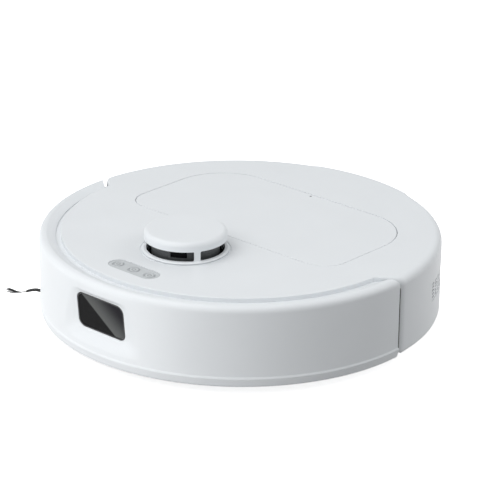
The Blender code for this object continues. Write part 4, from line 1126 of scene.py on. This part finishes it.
def make_buttons():
    low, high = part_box("button_panel")
    top = high.z
    seat_r = 0.0042
    panel = prism("key_panel", capsule(0, PANEL_Y, *PANEL_SIZE, 16), low.z, top)
    helpers = []
    names = ("power", "home", "spot")
    for name in names:
        low_b, high_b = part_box(name + "_button")
        x = (low_b.x + high_b.x) / 2
        seat = circle(x, PANEL_Y, seat_r, 48)
        helpers.append(prism("key_room", seat, low.z - 0.001, top + 0.001))
        moat = [(0.0046, top - 0.0007), (0.0054, top - 0.0007), (0.0056, top + 0.001)]
        moat += [(0.0044, top + 0.001)]
        helpers.append(turned("key_moat", moat, (x, PANEL_Y, 0), steps=48))
    combine(panel, helpers)
    fit(panel, key_plastic(), "root", "button_grey", "button_panel", edge=0.0002)
    for name in names:
        node = name + "_button"
        low_b, high_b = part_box(node)
        x = (low_b.x + high_b.x) / 2
        r = high_b.x - x
        dish = 0.00012
        profile = [(0.0, low_b.z), (r, low_b.z), (r, high_b.z - 0.0003), (r - 0.0003, high_b.z)]
        profile += [(r - 0.0007, high_b.z), (r - 0.0014, high_b.z - dish), (0.0, high_b.z - dish)]
        key = turned(name + "_key", profile, (x, PANEL_Y, 0), steps=48)
        fit(key, key_plastic(), name + "_button", "button_grey", node, edge=0)
        mark = button_mark(name, x, PANEL_Y, high_b.z - 0.0003, high_b.z - 0.00006)
        fit(mark, mark_paint(), name + "_button", "button_grey", edge=0)


# ---- outlets in the rear wall ----
def make_outlets():
    low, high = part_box("exhaust_grille")
    inner = BODY_R - SHELL
    edge = 0.0003 / BODY_R
    face_r = BODY_R - 0.0003
    band = [(inner, low.z), (face_r, low.z), (face_r, high.z), (inner, high.z)]
    grille = swept("vent_grille", band, spread(VENT_FROM + edge, VENT_TO - edge, 0.013))
    columns = 9
    rows = sizes().vent_rows
    pitch = (high.z - low.z - 0.002) / rows
    cutters = []
    for column in range(columns):
        heading = mix(VENT_FROM, VENT_TO, (column + 0.5) / columns)
        for row in range(rows):
            z = low.z + 0.001 + pitch * (row + 0.5)
            outline = capsule(0, z, 0.0058, pitch * 0.52, 4)
            slot = standing("vent_slot", outline, -BODY_R - 0.004, 0.006 - BODY_R)
            slot.data.transform(Matrix.Rotation(heading, 4, "Z"))
            cutters.append(slot)
    combine(grille, [gather("vent_slots", cutters)])
    fit(grille, white_shell(), "root", "grey_plastic", "exhaust_grille", edge=0.00012)
    low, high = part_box("rear_window")

    def pane(inset):
        corner = 0.0040 - inset
        return rounded(low.x + inset, high.x - inset, low.z + inset, high.z - inset, corner, 8)

    back, face = low.y, high.y
    steps = ((0, back), (0, face - 0.0004), (0.0001, face - 0.0001), (0.0004, face))
    rings = [[(x, y, z) for x, z in pane(inset)] for inset, y in steps]
    fit(loft("signal_window", rings), sensor_glass(), "root", "gloss_black", "rear_window", edge=0)


# ---- side brush ----
def oval(middle, across, wide, thick, count):
    """Points round an upright section of an arm or a strand."""
    turns = [math.tau * k / count for k in range(count)]
    return [
        middle + across * wide * math.cos(t) + Vector((0, 0, thick * math.sin(t))) for t in turns
    ]


def make_side_brush():
    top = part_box("side_brush")[1].z
    cx, cy = SIDE_BRUSH_X, SIDE_BRUSH_Y
    hub = [(0.0, 0.0045), (0.0050, 0.0045), (0.0056, 0.0050), (0.0098, 0.0053), (0.0105, 0.0060)]
    hub += [(0.0105, 0.0080), (0.0098, 0.0088), (0.0034, 0.0088), (0.0034, top), (0.0, top)]
    fit(
        turned("side_brush_hub", hub, (cx, cy, 0), steps=48),
        dark_trim(),
        "side_brush",
        "bristle",
        "side_brush",
        edge=0.0002,
    )
    screw("side_brush_screw", (cx, cy, 0.0046), 0.0021, "side_brush", 0.0004)
    draw = random.Random(7)
    arms = []
    strands = []
    for index in range(3):
        heading = ARM_HEADING + math.tau * index / 3
        along = Vector((math.cos(heading), math.sin(heading), 0))
        across = Vector((-along.y, along.x, 0))

        def point(share, aside=0.0, lift=0.0):
            out = mix(ARM_ROOT, ARM_REACH, share)
            bend = ARM_BEND * math.sin(math.pi * share) + aside
            wave = math.cos(math.tau * (share - ARM_SAG_CREST) / ARM_SAG_LENGTH)
            sag = ARM_LEVEL + ARM_SAG * wave
            z = mix(ARM_ROOT_Z, sag, smooth((share - 0.45) / 0.15)) + lift
            return Vector((cx, cy, z)) + along * out + across * bend

        rings = []
        for i in range(25):
            wide = mix(0.0036, 0.0016, smooth(i / 12))
            thick = mix(0.0017, 0.0013, i / 24)
            rings.append(oval(point(RUBBER_END * i / 24), across, wide, thick, 12))
        arms.append(loft("brush_arm", rings))
        count = sizes().strands
        for number in range(count):
            start_aside = draw.uniform(-0.0006, 0.0006)
            end_aside = mix(-0.0024, 0.0024, number / (count - 1)) + draw.uniform(-0.0004, 0.0004)
            end_lift = draw.uniform(-0.0016, 0.0018)
            length = 1 - 0.05 * draw.random()
            wave = draw.uniform(-0.0005, 0.0005)
            radius = sizes().strand_width / 2
            rings = []
            for i in range(13):
                part = i / 12
                share = mix(STRANDS_START, length, part)
                flare = smooth((part - 0.35) / 0.65)
                aside = mix(start_aside, end_aside, flare) + wave * math.sin(math.pi * part)
                slim = radius * mix(1.0, 0.75, part)
                rings.append(oval(point(share, aside, end_lift * flare), across, slim, slim, 5))
            strands.append(loft("strand", rings))
    fit(gather("side_brush_arms", arms), tyre_rubber(), "side_brush", "bristle", edge=0)
    fit(gather("side_brush_strands", strands), strand_nylon(), "side_brush", "bristle", edge=0)


def screw(name, place, radius, body, height):
    """A cross-head screw with its head to the floor."""
    head = [(0.0, 0.0), (radius, 0.0), (radius, height * 0.4)]
    head += [(radius * 0.72, height), (0.0, height)]
    piece = turned(name, head, steps=32)
    arm = radius * 0.62
    slot = radius * 0.13
    depth = height * 0.35
    cross = [
        box("slot", (-arm, -slot, depth), (arm, slot, height * 2)),
        box("slot", (-slot, -arm, depth), (slot, arm, height * 2)),
    ]
    combine(piece, cross)
    piece.data.transform(Matrix.Translation(place) @ Matrix.Diagonal((1, -1, -1, 1)))
    fit(piece, steel(), body, "steel", edge=0.00008)


# ---- wheels ----
def wheel_pieces(side):
    """The drive wheel of one side: a lugged tyre on a rim with five pockets."""
    name = "left" if side < 0 else "right"
    body = "wheel_" + name
    low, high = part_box("tyre_" + name)
    centre = (low + high) / 2
    radius = (high.z - low.z) / 2
    half = (high.x - low.x) / 2
    bore = radius - TYRE_T
    lugs = sizes().tread_lugs
    depth = sizes().tread_depth
    steps = lugs * 10
    rings = []
    for i in range(steps):
        angle = math.tau * i / steps
        ring = [(bore, -half), (bore, half)]
        for k in range(13):
            across = 1 - 2 * k / 12
            phase = (lugs * i / steps + 0.45 * abs(across)) % 1.0
            lug = smooth(min(phase, 1 - phase) * 7 - 0.9)
            crown = radius - 0.0014 * abs(across) ** 5
            ring.append((crown - depth * (1 - lug), half * across * 0.98))
        a, b = math.cos(angle), math.sin(angle)
        rings.append([(centre.x + x, centre.y + r * a, centre.z + r * b) for r, x in ring])
    tyre = loft("drive_tyre_" + name, rings, caps=False)
    fit(tyre, tyre_rubber(), body, "tyre_rubber", "tyre_" + name, edge=0)

    hub_low, hub_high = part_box("wheel_hub_" + name)
    rim = bore - 0.0003
    face = half - 0.0008
    profile = [
        (0.0, face - 0.0010),
        (0.0060, face - 0.0010),
        (0.0066, face - 0.0030),
        (rim - 0.0040, face - 0.0030),
        (rim - 0.0030, face - 0.0006),
        (rim - 0.0024, face),
        (rim - 0.0006, face),
        (rim, face - 0.0006),
        (rim, -face + 0.0006),
        (rim - 0.0006, -face),
        (rim - 0.0034, -face),
        (rim - 0.0044, -face + 0.0020),
        (0.0070, -face + 0.0020),
        (0.0062, -face),
        (0.0, -face),
    ]
    profile = [(r, side * x) for r, x in reversed(profile)]
    hub = turned("drive_hub_" + name, profile, centre, axis="X", steps=72)
    pockets = []
    for i in range(5):
        middle = math.tau * i / 5
        inner = arc(0, 0, 0.0095, middle - 0.28, middle + 0.28, 6)
        outer = arc(0, 0, rim - 0.0062, middle + 0.46, middle - 0.46, 12)
        ends = sorted(centre.x + side * x for x in (face - 0.0075, face + 0.002))
        pocket = [[(x, centre.y + a, centre.z + b) for a, b in inner + outer] for x in ends]
        pockets.append(loft("pocket", pocket))
    combine(hub, pockets)
    fit(hub, dark_trim(), body, "grey_plastic", "wheel_hub_" + name, edge=0.0003)
    inner_x = hub_high.x if side < 0 else hub_low.x
    shaft = [(0.0, inner_x), (0.0022, inner_x), (0.0026, inner_x + side * 0.0004)]
    shaft += [(0.0026, centre.x - side * face), (0.0, centre.x - side * face)]
    axle = turned("drive_axle_" + name, shaft, (0, centre.y, centre.z), axis="X", steps=32)
    fit(axle, steel(), body, "steel", edge=0)
    nut_x = centre.x + side * (face - 0.0012)
    nut = [(0.0, nut_x), (0.0034, nut_x), (0.0034, nut_x + side * 0.0012)]
    nut += [(0.0029, nut_x + side * 0.0018), (0.0, nut_x + side * 0.0018)]
    cap = turned("drive_nut_" + name, nut, (0, centre.y, centre.z), axis="X", steps=6)
    fit(cap, steel(), body, "steel", edge=0.0001)


def make_drive_wheels():
    for side in (-1, 1):
        wheel_pieces(side)


def make_caster_wheel():
    """A small wheel: a soft tread between two hard cheeks."""
    low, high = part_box("caster_wheel")
    centre = (low + high) / 2
    radius = (high.z - low.z) / 2
    half = (high.x - low.x) / 2
    tread = [(radius - 0.0040, -half * 0.62), (radius - 0.0008, -half * 0.62)]
    for k in range(9):
        across = -0.55 + 1.10 * k / 8
        groove = 0.0006 if k in (2, 6) else 0.0
        tread.append((radius - groove - 0.0004 * abs(across), half * across))
    tread += [(radius - 0.0008, half * 0.62), (radius - 0.0040, half * 0.62)]
    band = turned("caster_tread", tread, centre, axis="X", steps=72)
    fit(band, tyre_rubber(), "caster_wheel", "tyre_rubber", "caster_wheel", edge=0)
    cheeks = []
    for side in (-1, 1):
        cheek = [
            (0.0, half),
            (0.0030, half),
            (0.0036, half * 0.86),
            (radius - 0.0050, half * 0.86),
            (radius - 0.0042, half * 0.94),
            (radius - 0.0028, half * 0.94),
            (radius - 0.0018, half * 0.80),
            (radius - 0.0016, half * 0.60),
            (0.0, half * 0.55),
        ]
        cheek = [(r, side * x) for r, x in cheek]
        cheeks.append(turned("cheek", cheek, centre, axis="X", steps=60))
    fit(gather("caster_cheeks", cheeks), pale_trim(), "caster_wheel", "grey_plastic", edge=0.0002)


# ---- main brush ----
def make_main_brush():
    """A ribbed core with rubber vanes and rows of bristle tufts, all laid in a V."""
    low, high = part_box("main_brush")
    y, z = (low.y + high.y) / 2, (low.z + high.z) / 2
    tip = (high.z - low.z) / 2
    left, right = low.x + 0.0030, high.x - 0.0050
    centre = (0, y, z)
    core_r = BRUSH_CORE_R
    core = [(0.0, low.x), (0.0026, low.x), (0.0030, low.x + 0.0004), (0.0030, left)]
    core += [(core_r + 0.0030, left), (core_r + 0.0034, left + 0.0006)]
    core += [(core_r + 0.0034, left + 0.0024), (core_r, left + 0.0030)]
    ribs = 12
    for i in range(1, ribs):
        x = mix(left, right, i / ribs)
        core += [(core_r, x - 0.0012), (core_r + 0.0005, x - 0.0006)]
        core += [(core_r + 0.0005, x + 0.0006), (core_r, x + 0.0012)]
    core += [(core_r, right - 0.0030), (core_r + 0.0034, right - 0.0024)]
    core += [(core_r + 0.0034, right - 0.0006), (core_r + 0.0030, right), (0.0030, right)]
    core += [(0.0030, high.x - 0.0004), (0.0026, high.x), (0.0, high.x)]
    barrel = turned("brush_core", core, centre, axis="X", steps=60)
    fit(barrel, pale_trim(), "main_brush", "bristle", "main_brush", edge=0)

    def heading(x):
        share = (x - left) / (right - left)
        return BRUSH_TWIST * abs(2 * share - 1)

    def spoke(x, turn, radius):
        angle = heading(x) + turn
        return (x, y + radius * math.cos(angle), z + radius * math.sin(angle))

    vanes = []
    tufts = bmesh.new()
    draw = random.Random(11)
    start, end = left + 0.0032, right - 0.0032
    for fin in range(BRUSH_FINS):
        base = math.tau * fin / BRUSH_FINS
        if fin % 2 == 0:
            rings = []
            for x in spread(start, end, 0.004):
                foot, shank, lip = 0.0017 / core_r, 0.0008 / tip, 0.0005 / tip
                rings.append(
                    [
                        spoke(x, base - foot, core_r - 0.0006),
                        spoke(x, base - shank, core_r + 0.0016),
                        spoke(x, base - lip, tip - 0.0004),
                        spoke(x, base, tip),
                        spoke(x, base + lip, tip - 0.0004),
                        spoke(x, base + shank, core_r + 0.0016),
                        spoke(x, base + foot, core_r - 0.0006),
                    ]
                )
            vanes.append(loft("vane", rings))
            continue
        for x in spread(start, end, sizes().tuft_pitch):
            for strand in range(STRANDS_IN_TUFT):
                spot = math.tau * strand / STRANDS_IN_TUFT
                root_x = x + 0.0007 * math.cos(spot)
                root_turn = base + 0.0007 * math.sin(spot) / core_r
                lean_x = 0.0012 * math.cos(spot) + draw.uniform(-0.0004, 0.0004)
                lean_turn = 0.0011 * math.sin(spot) / tip + draw.uniform(-0.02, 0.02)
                length = tip - draw.uniform(0.0, 0.0008)
                rings = []
                for share in (0.0, 0.5, 1.0):
                    radius = mix(core_r - 0.0004, length, share)
                    slim = mix(0.00022, 0.00013, share)
                    ring = []
                    for k in range(4):
                        t = math.tau * k / 4
                        place_x = root_x + lean_x * share**1.5 + slim * math.cos(t)
                        turn = root_turn + lean_turn * share + slim * math.sin(t) / radius
                        ring.append(spoke(min(max(place_x, left), right), turn, radius))
                    rings.append(ring)
                add_rings(tufts, rings, True)
    fit(gather("brush_vanes", vanes), tyre_rubber(), "main_brush", "bristle", edge=0)
    strands = mesh_object("brush_tufts", tufts)
    fit(strands, strand_nylon(), "main_brush", "bristle", edge=0)


# ---- springs and filter ----
def make_springs():
    """Each suspension spring is a real coil round its pivot."""
    for name in ("left", "right"):
        low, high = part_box("suspension_spring_" + name)
        y, z = (low.y + high.y) / 2, (low.z + high.z) / 2
        wire = SPRING_WIRE
        radius = (high.z - low.z) / 2 - wire
        steps = 110
        rings = []
        for i in range(steps + 1):
            share = i / steps
            angle = math.tau * SPRING_TURNS * share
            x = mix(low.x + wire, high.x - wire, share)
            out = Vector((0, math.cos(angle), math.sin(angle)))
            middle = Vector((x, y, z)) + out * radius
            ring = []
            for k in range(8):
                t = math.tau * k / 8
                ring.append(middle + out * wire * math.cos(t) + Vector((wire * math.sin(t), 0, 0)))
            rings.append(ring)
        coil = loft("torsion_spring_" + name, rings)
        fit(coil, steel(), "root", "steel", "suspension_spring_" + name, edge=0)


def make_filter():
    """A frame round a pleated sheet, ready to slide into the bin."""
    low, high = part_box("bin_filter")
    rim = 0.0030
    frame_box = box("filter_frame", low, high)
    inner_low = (low.x + rim, low.y - 0.001, low.z + rim)
    inner_high = (high.x - rim, high.y + 0.001, high.z - rim)
    combine(frame_box, [box("filter_way", inner_low, inner_high)])
    fit(frame_box, pale_trim(), "root", "filter_paper", "bin_filter", edge=0.0003)
    thick = 0.0003
    front = []
    back = []
    for i in range(FILTER_FOLDS + 1):
        x = mix(low.x + rim - 0.0005, high.x - rim + 0.0005, i / FILTER_FOLDS)
        y = low.y + 0.0006 if i % 2 else high.y - 0.0006 - thick
        front.append((x, y))
        back.append((x, y + thick))
    sheet = prism("filter_pleats", front + back[::-1], low.z + rim - 0.0005, high.z - rim + 0.0005)
    fit(sheet, filter_paper(), "root", "filter_paper", edge=0)


# ---- fasteners ----
def make_screws():
    """Cross-head screws that hold the base plate, in shallow seats."""
    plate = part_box("base_shell")[0].z
    seat = [(0.0033, 0.0), (0.0045, 0.0), (0.0045, -0.0003), (0.0040, -0.0006)]
    seat += [(0.0033, -0.0006), (0.0033, 0.0)]
    for number, (x, y) in enumerate(SCREW_PLACES):
        ring = turned("seat_ring", seat, (x, y, plate), steps=40)
        fit(ring, dark_trim(), "root", "black_plastic", edge=0)
        screw("base_screw_%d" % (number + 1), (x, y, plate + 0.0001), 0.0031, "root", 0.0008)


# ---- parts of the frame that keep their own shape ----
KEPT = {
    "base_shell": white_shell,
    "bay_tray": dark_trim,
    "dust_bin": smoked_plastic,
    "bin_cover": pale_trim,
    "lidar_base": dark_trim,
    "lidar_belt": tyre_rubber,
    "lidar_motor": steel,
    "lidar_pulley": pale_trim,
    "main_board": board_lacquer,
    "battery_pack": cell_wrap,
    "battery_door": white_shell,
    "brush_chamber": black_trim,
    "brush_gearbox": pale_trim,
    "brush_guard": dark_trim,
    "fan_housing": black_trim,
    "fan_impeller": pale_trim,
    "speaker": black_trim,
    "front_sensor_module": black_trim,
    "caster_socket": black_trim,
    "wheel_housing_left": black_trim,
    "wheel_housing_right": black_trim,
    "suspension_arm_left": dark_trim,
    "suspension_arm_right": dark_trim,
    "charge_contact_left": nickel,
    "charge_contact_right": nickel,
    "cliff_sensor_front_left": sensor_glass,
    "cliff_sensor_front_right": sensor_glass,
    "cliff_sensor_side_left": sensor_glass,
    "cliff_sensor_side_right": sensor_glass,
    "bumper_switch_left": black_trim,
    "bumper_switch_right": black_trim,
    "bumper_lever_left": pale_trim,
    "bumper_lever_right": pale_trim,
    "side_brush_motor": dark_trim,
    "caster_fork": dark_trim,
    "guard_latch_left": accent_plastic,
    "guard_latch_right": accent_plastic,
}


def make_kept_parts():
    for node, finish in KEPT.items():
        dress(node, finish())


# ---- stage ----
def stage_white():
    made = bpy.data.materials.new("studio_floor")
    made.use_nodes = True
    tree = made.node_tree
    shader = tree.nodes["Principled BSDF"]
    noise = tree.nodes.new("ShaderNodeTexNoise")
    noise.inputs["Scale"].default_value = 0.7
    blend = tree.nodes.new("ShaderNodeMix")
    blend.data_type = "RGBA"
    blend.inputs[6].default_value = (0.86, 0.86, 0.865, 1)
    blend.inputs[7].default_value = (0.90, 0.90, 0.90, 1)
    tree.links.new(noise.outputs["Fac"], blend.inputs[0])
    tree.links.new(blend.outputs[2], shader.inputs["Base Color"])
    shader.inputs["Roughness"].default_value = 0.9
    shader.inputs["Emission Color"].default_value = (1, 1, 1, 1)
    shader.inputs["Emission Strength"].default_value = 0.75
    return made


def soft_light(name, heading, elevation, distance, size, power):
    """A square soft light aimed at the middle of the machine."""
    lamp = bpy.data.lights.new(name, "AREA")
    lamp.shape = "SQUARE"
    lamp.size = size
    lamp.energy = power
    holder = bpy.data.objects.new(name, lamp)
    x, y = polar(distance * math.cos(elevation), heading)
    holder.location = (x, y, distance * math.sin(elevation))
    aim = Vector((0, 0, DECK_Z / 2)) - holder.location
    holder.rotation_mode = "QUATERNION"
    holder.rotation_quaternion = aim.to_track_quat("-Z", "Y")
    bpy.context.scene.collection.objects.link(holder)


def make_surroundings(strength):
    """Pale surroundings: an even sky that falls away below the horizon."""
    world = bpy.data.worlds.new("pale_studio")
    bpy.context.scene.world = world
    world.use_nodes = True
    tree = world.node_tree
    background = tree.nodes["Background"]
    place = tree.nodes.new("ShaderNodeTexCoord")
    split = tree.nodes.new("ShaderNodeSeparateXYZ")
    share = tree.nodes.new("ShaderNodeMapRange")
    share.inputs["From Min"].default_value = -0.20
    share.inputs["From Max"].default_value = 0.05
    blend = tree.nodes.new("ShaderNodeMix")
    blend.data_type = "RGBA"
    blend.inputs[6].default_value = (0.10, 0.10, 0.105, 1)
    blend.inputs[7].default_value = (0.985, 0.995, 1.0, 1)
    tree.links.new(place.outputs["Generated"], split.inputs[0])
    tree.links.new(split.outputs["Z"], share.inputs["Value"])
    tree.links.new(share.outputs["Result"], blend.inputs[0])
    tree.links.new(blend.outputs[2], background.inputs["Color"])
    background.inputs["Strength"].default_value = strength


def make_stage():
    settings = bpy.context.scene.vacuum_stage
    floor_mesh = bpy.data.meshes.new("floor")
    corners = [(x * FLOOR_HALF, y * FLOOR_HALF, 0) for x, y in ((-1, -1), (1, -1), (1, 1), (-1, 1))]
    floor_mesh.from_pydata(corners, [], [(0, 1, 2, 3)])
    floor = bpy.data.objects.new("floor", floor_mesh)
    bpy.context.scene.collection.objects.link(floor)
    floor_mesh.materials.append(stage_white())
    floor.visible_diffuse = False
    floor.visible_shadow = False
    make_surroundings(settings.sky_strength)
    for name, heading, elevation, distance, size, word in LIGHTS:
        angles = (math.radians(heading), math.radians(elevation))
        soft_light(name, *angles, distance, size, getattr(settings, word))

    camera = bpy.data.cameras.new("camera")
    camera.lens = settings.lens
    camera.sensor_width = 36
    camera.shift_x = CAMERA_SHIFT[0]
    camera.shift_y = CAMERA_SHIFT[1]
    camera.clip_start = 0.01
    camera.clip_end = 50
    holder = bpy.data.objects.new("camera", camera)
    bpy.context.scene.collection.objects.link(holder)
    a = settings.azimuth
    e = settings.elevation
    back = Vector((math.sin(a) * math.cos(e), -math.cos(a) * math.cos(e), math.sin(e)))
    right = Vector((math.cos(a), math.sin(a), 0))
    up = back.cross(right)
    tilted_right = right * math.cos(CAMERA_ROLL) + up * math.sin(CAMERA_ROLL)
    tilted_up = up * math.cos(CAMERA_ROLL) - right * math.sin(CAMERA_ROLL)
    turn = Matrix((tilted_right, tilted_up, back)).transposed()
    place = Vector((0, 0, CAMERA_AIM_Z)) + back * settings.distance
    holder.matrix_world = Matrix.Translation(place) @ turn.to_4x4()
    scene = bpy.context.scene
    scene.camera = holder
    scene.view_settings.view_transform = "Standard"


# ---- operators: one for each piece or group of like pieces ----
class VACUUM_OT_deck(bpy.types.Operator):
    """Builds the white deck with its rear wall and the groove round the turret"""

    bl_idname = "vacuum.deck"
    bl_label = "Deck"
    bl_options = {"REGISTER", "UNDO"}

    def execute(self, context):
        make_deck()
        return {"FINISHED"}


class VACUUM_OT_bumper(bpy.types.Operator):
    """Builds the bumper with the soft recess for its window"""

    bl_idname = "vacuum.bumper"
    bl_label = "Bumper"
    bl_options = {"REGISTER", "UNDO"}

    def execute(self, context):
        make_bumper()
        return {"FINISHED"}


class VACUUM_OT_gap_shade_strips(bpy.types.Operator):
    """Builds the dark strips of painted shade behind both ends of the bumper"""

    bl_idname = "vacuum.gap_seals"
    bl_label = "Gap Seals"
    bl_options = {"REGISTER", "UNDO"}

    def execute(self, context):
        make_gap_shade_strips()
        return {"FINISHED"}


class VACUUM_OT_window(bpy.types.Operator):
    """Builds the smoked front window and its rim"""

    bl_idname = "vacuum.window"
    bl_label = "Front Window"
    bl_options = {"REGISTER", "UNDO"}

    def execute(self, context):
        make_window()
        return {"FINISHED"}


class VACUUM_OT_lid(bpy.types.Operator):
    """Builds the lid over the dust bin"""

    bl_idname = "vacuum.lid"
    bl_label = "Service Lid"
    bl_options = {"REGISTER", "UNDO"}

    def execute(self, context):
        make_lid()
        return {"FINISHED"}


class VACUUM_OT_turret(bpy.types.Operator):
    """Builds the slotted turret cover and the drum that turns in it"""

    bl_idname = "vacuum.turret"
    bl_label = "Laser Turret"
    bl_options = {"REGISTER", "UNDO"}

    def execute(self, context):
        make_turret()
        return {"FINISHED"}


class VACUUM_OT_buttons(bpy.types.Operator):
    """Builds the button panel, the three buttons and their symbols"""

    bl_idname = "vacuum.buttons"
    bl_label = "Buttons"
    bl_options = {"REGISTER", "UNDO"}

    def execute(self, context):
        make_buttons()
        return {"FINISHED"}


class VACUUM_OT_outlets(bpy.types.Operator):
    """Builds the exhaust vent and the rear signal window"""

    bl_idname = "vacuum.outlets"
    bl_label = "Rear Outlets"
    bl_options = {"REGISTER", "UNDO"}

    def execute(self, context):
        make_outlets()
        return {"FINISHED"}


class VACUUM_OT_side_brush(bpy.types.Operator):
    """Builds the hub, arms and strands of the side brush"""

    bl_idname = "vacuum.side_brush"
    bl_label = "Side Brush"
    bl_options = {"REGISTER", "UNDO"}

    def execute(self, context):
        make_side_brush()
        return {"FINISHED"}


class VACUUM_OT_drive_wheels(bpy.types.Operator):
    """Builds both drive wheels with their lugged tyres"""

    bl_idname = "vacuum.drive_wheels"
    bl_label = "Drive Wheels"
    bl_options = {"REGISTER", "UNDO"}

    def execute(self, context):
        make_drive_wheels()
        return {"FINISHED"}


class VACUUM_OT_caster_wheel(bpy.types.Operator):
    """Builds the small front wheel"""

    bl_idname = "vacuum.caster_wheel"
    bl_label = "Caster Wheel"
    bl_options = {"REGISTER", "UNDO"}

    def execute(self, context):
        make_caster_wheel()
        return {"FINISHED"}


class VACUUM_OT_main_brush(bpy.types.Operator):
    """Builds the roller with its vanes and bristle tufts"""

    bl_idname = "vacuum.main_brush"
    bl_label = "Main Brush"
    bl_options = {"REGISTER", "UNDO"}

    def execute(self, context):
        make_main_brush()
        return {"FINISHED"}


class VACUUM_OT_springs(bpy.types.Operator):
    """Builds the coil springs of the suspension"""

    bl_idname = "vacuum.springs"
    bl_label = "Suspension Springs"
    bl_options = {"REGISTER", "UNDO"}

    def execute(self, context):
        make_springs()
        return {"FINISHED"}


class VACUUM_OT_filter(bpy.types.Operator):
    """Builds the pleated filter of the bin"""

    bl_idname = "vacuum.filter"
    bl_label = "Bin Filter"
    bl_options = {"REGISTER", "UNDO"}

    def execute(self, context):
        make_filter()
        return {"FINISHED"}


class VACUUM_OT_screws(bpy.types.Operator):
    """Builds the screws under the base plate"""

    bl_idname = "vacuum.screws"
    bl_label = "Base Screws"
    bl_options = {"REGISTER", "UNDO"}

    def execute(self, context):
        make_screws()
        return {"FINISHED"}


class VACUUM_OT_kept_parts(bpy.types.Operator):
    """Gives the remaining frame parts their materials and soft edges"""

    bl_idname = "vacuum.kept_parts"
    bl_label = "Frame Parts"
    bl_options = {"REGISTER", "UNDO"}

    def execute(self, context):
        make_kept_parts()
        return {"FINISHED"}


class VACUUM_OT_stage(bpy.types.Operator):
    """Builds the floor, the light and the camera"""

    bl_idname = "vacuum.stage"
    bl_label = "Stage"
    bl_options = {"REGISTER", "UNDO"}

    def execute(self, context):
        make_stage()
        return {"FINISHED"}


OPERATORS = (
    VACUUM_OT_deck,
    VACUUM_OT_bumper,
    VACUUM_OT_gap_shade_strips,
    VACUUM_OT_window,
    VACUUM_OT_lid,
    VACUUM_OT_turret,
    VACUUM_OT_buttons,
    VACUUM_OT_outlets,
    VACUUM_OT_side_brush,
    VACUUM_OT_drive_wheels,
    VACUUM_OT_caster_wheel,
    VACUUM_OT_main_brush,
    VACUUM_OT_springs,
    VACUUM_OT_filter,
    VACUUM_OT_screws,
    VACUUM_OT_kept_parts,
    VACUUM_OT_stage,
)


class VACUUM_PT_finisher(bpy.types.Panel):
    """Lists the settings and the pieces"""

    bl_idname = "VACUUM_PT_finisher"
    bl_label = "Robot Vacuum"
    bl_space_type = "VIEW_3D"
    bl_region_type = "UI"
    bl_category = "Vacuum"

    def draw(self, context):
        layout = self.layout
        scene = context.scene
        for title, group in (
            ("Sizes", scene.vacuum_sizes),
            ("Colours", scene.vacuum_colours),
            ("Stage", scene.vacuum_stage),
        ):
            column = layout.box().column()
            column.label(text=title)
            for word in group.__annotations__:
                column.prop(group, word)
        column = layout.column()
        for operator in OPERATORS:
            column.operator(operator.bl_idname)


GROUPS = (
    ("vacuum_sizes", VacuumSizes),
    ("vacuum_colours", VacuumColours),
    ("vacuum_stage", VacuumStage),
)


def register():
    for word, group in GROUPS:
        bpy.utils.register_class(group)
        setattr(bpy.types.Scene, word, bpy.props.PointerProperty(type=group))
    for operator in OPERATORS:
        bpy.utils.register_class(operator)
    bpy.utils.register_class(VACUUM_PT_finisher)


def unregister():
    bpy.utils.unregister_class(VACUUM_PT_finisher)
    for operator in reversed(OPERATORS):
        bpy.utils.unregister_class(operator)
    for word, group in reversed(GROUPS):
        delattr(bpy.types.Scene, word)
        bpy.utils.unregister_class(group)


def main():
    register()
    for operator in OPERATORS:
        word = operator.bl_idname.split(".")[1]
        getattr(bpy.ops.vacuum, word)()


if __name__ == "__main__":
    main()
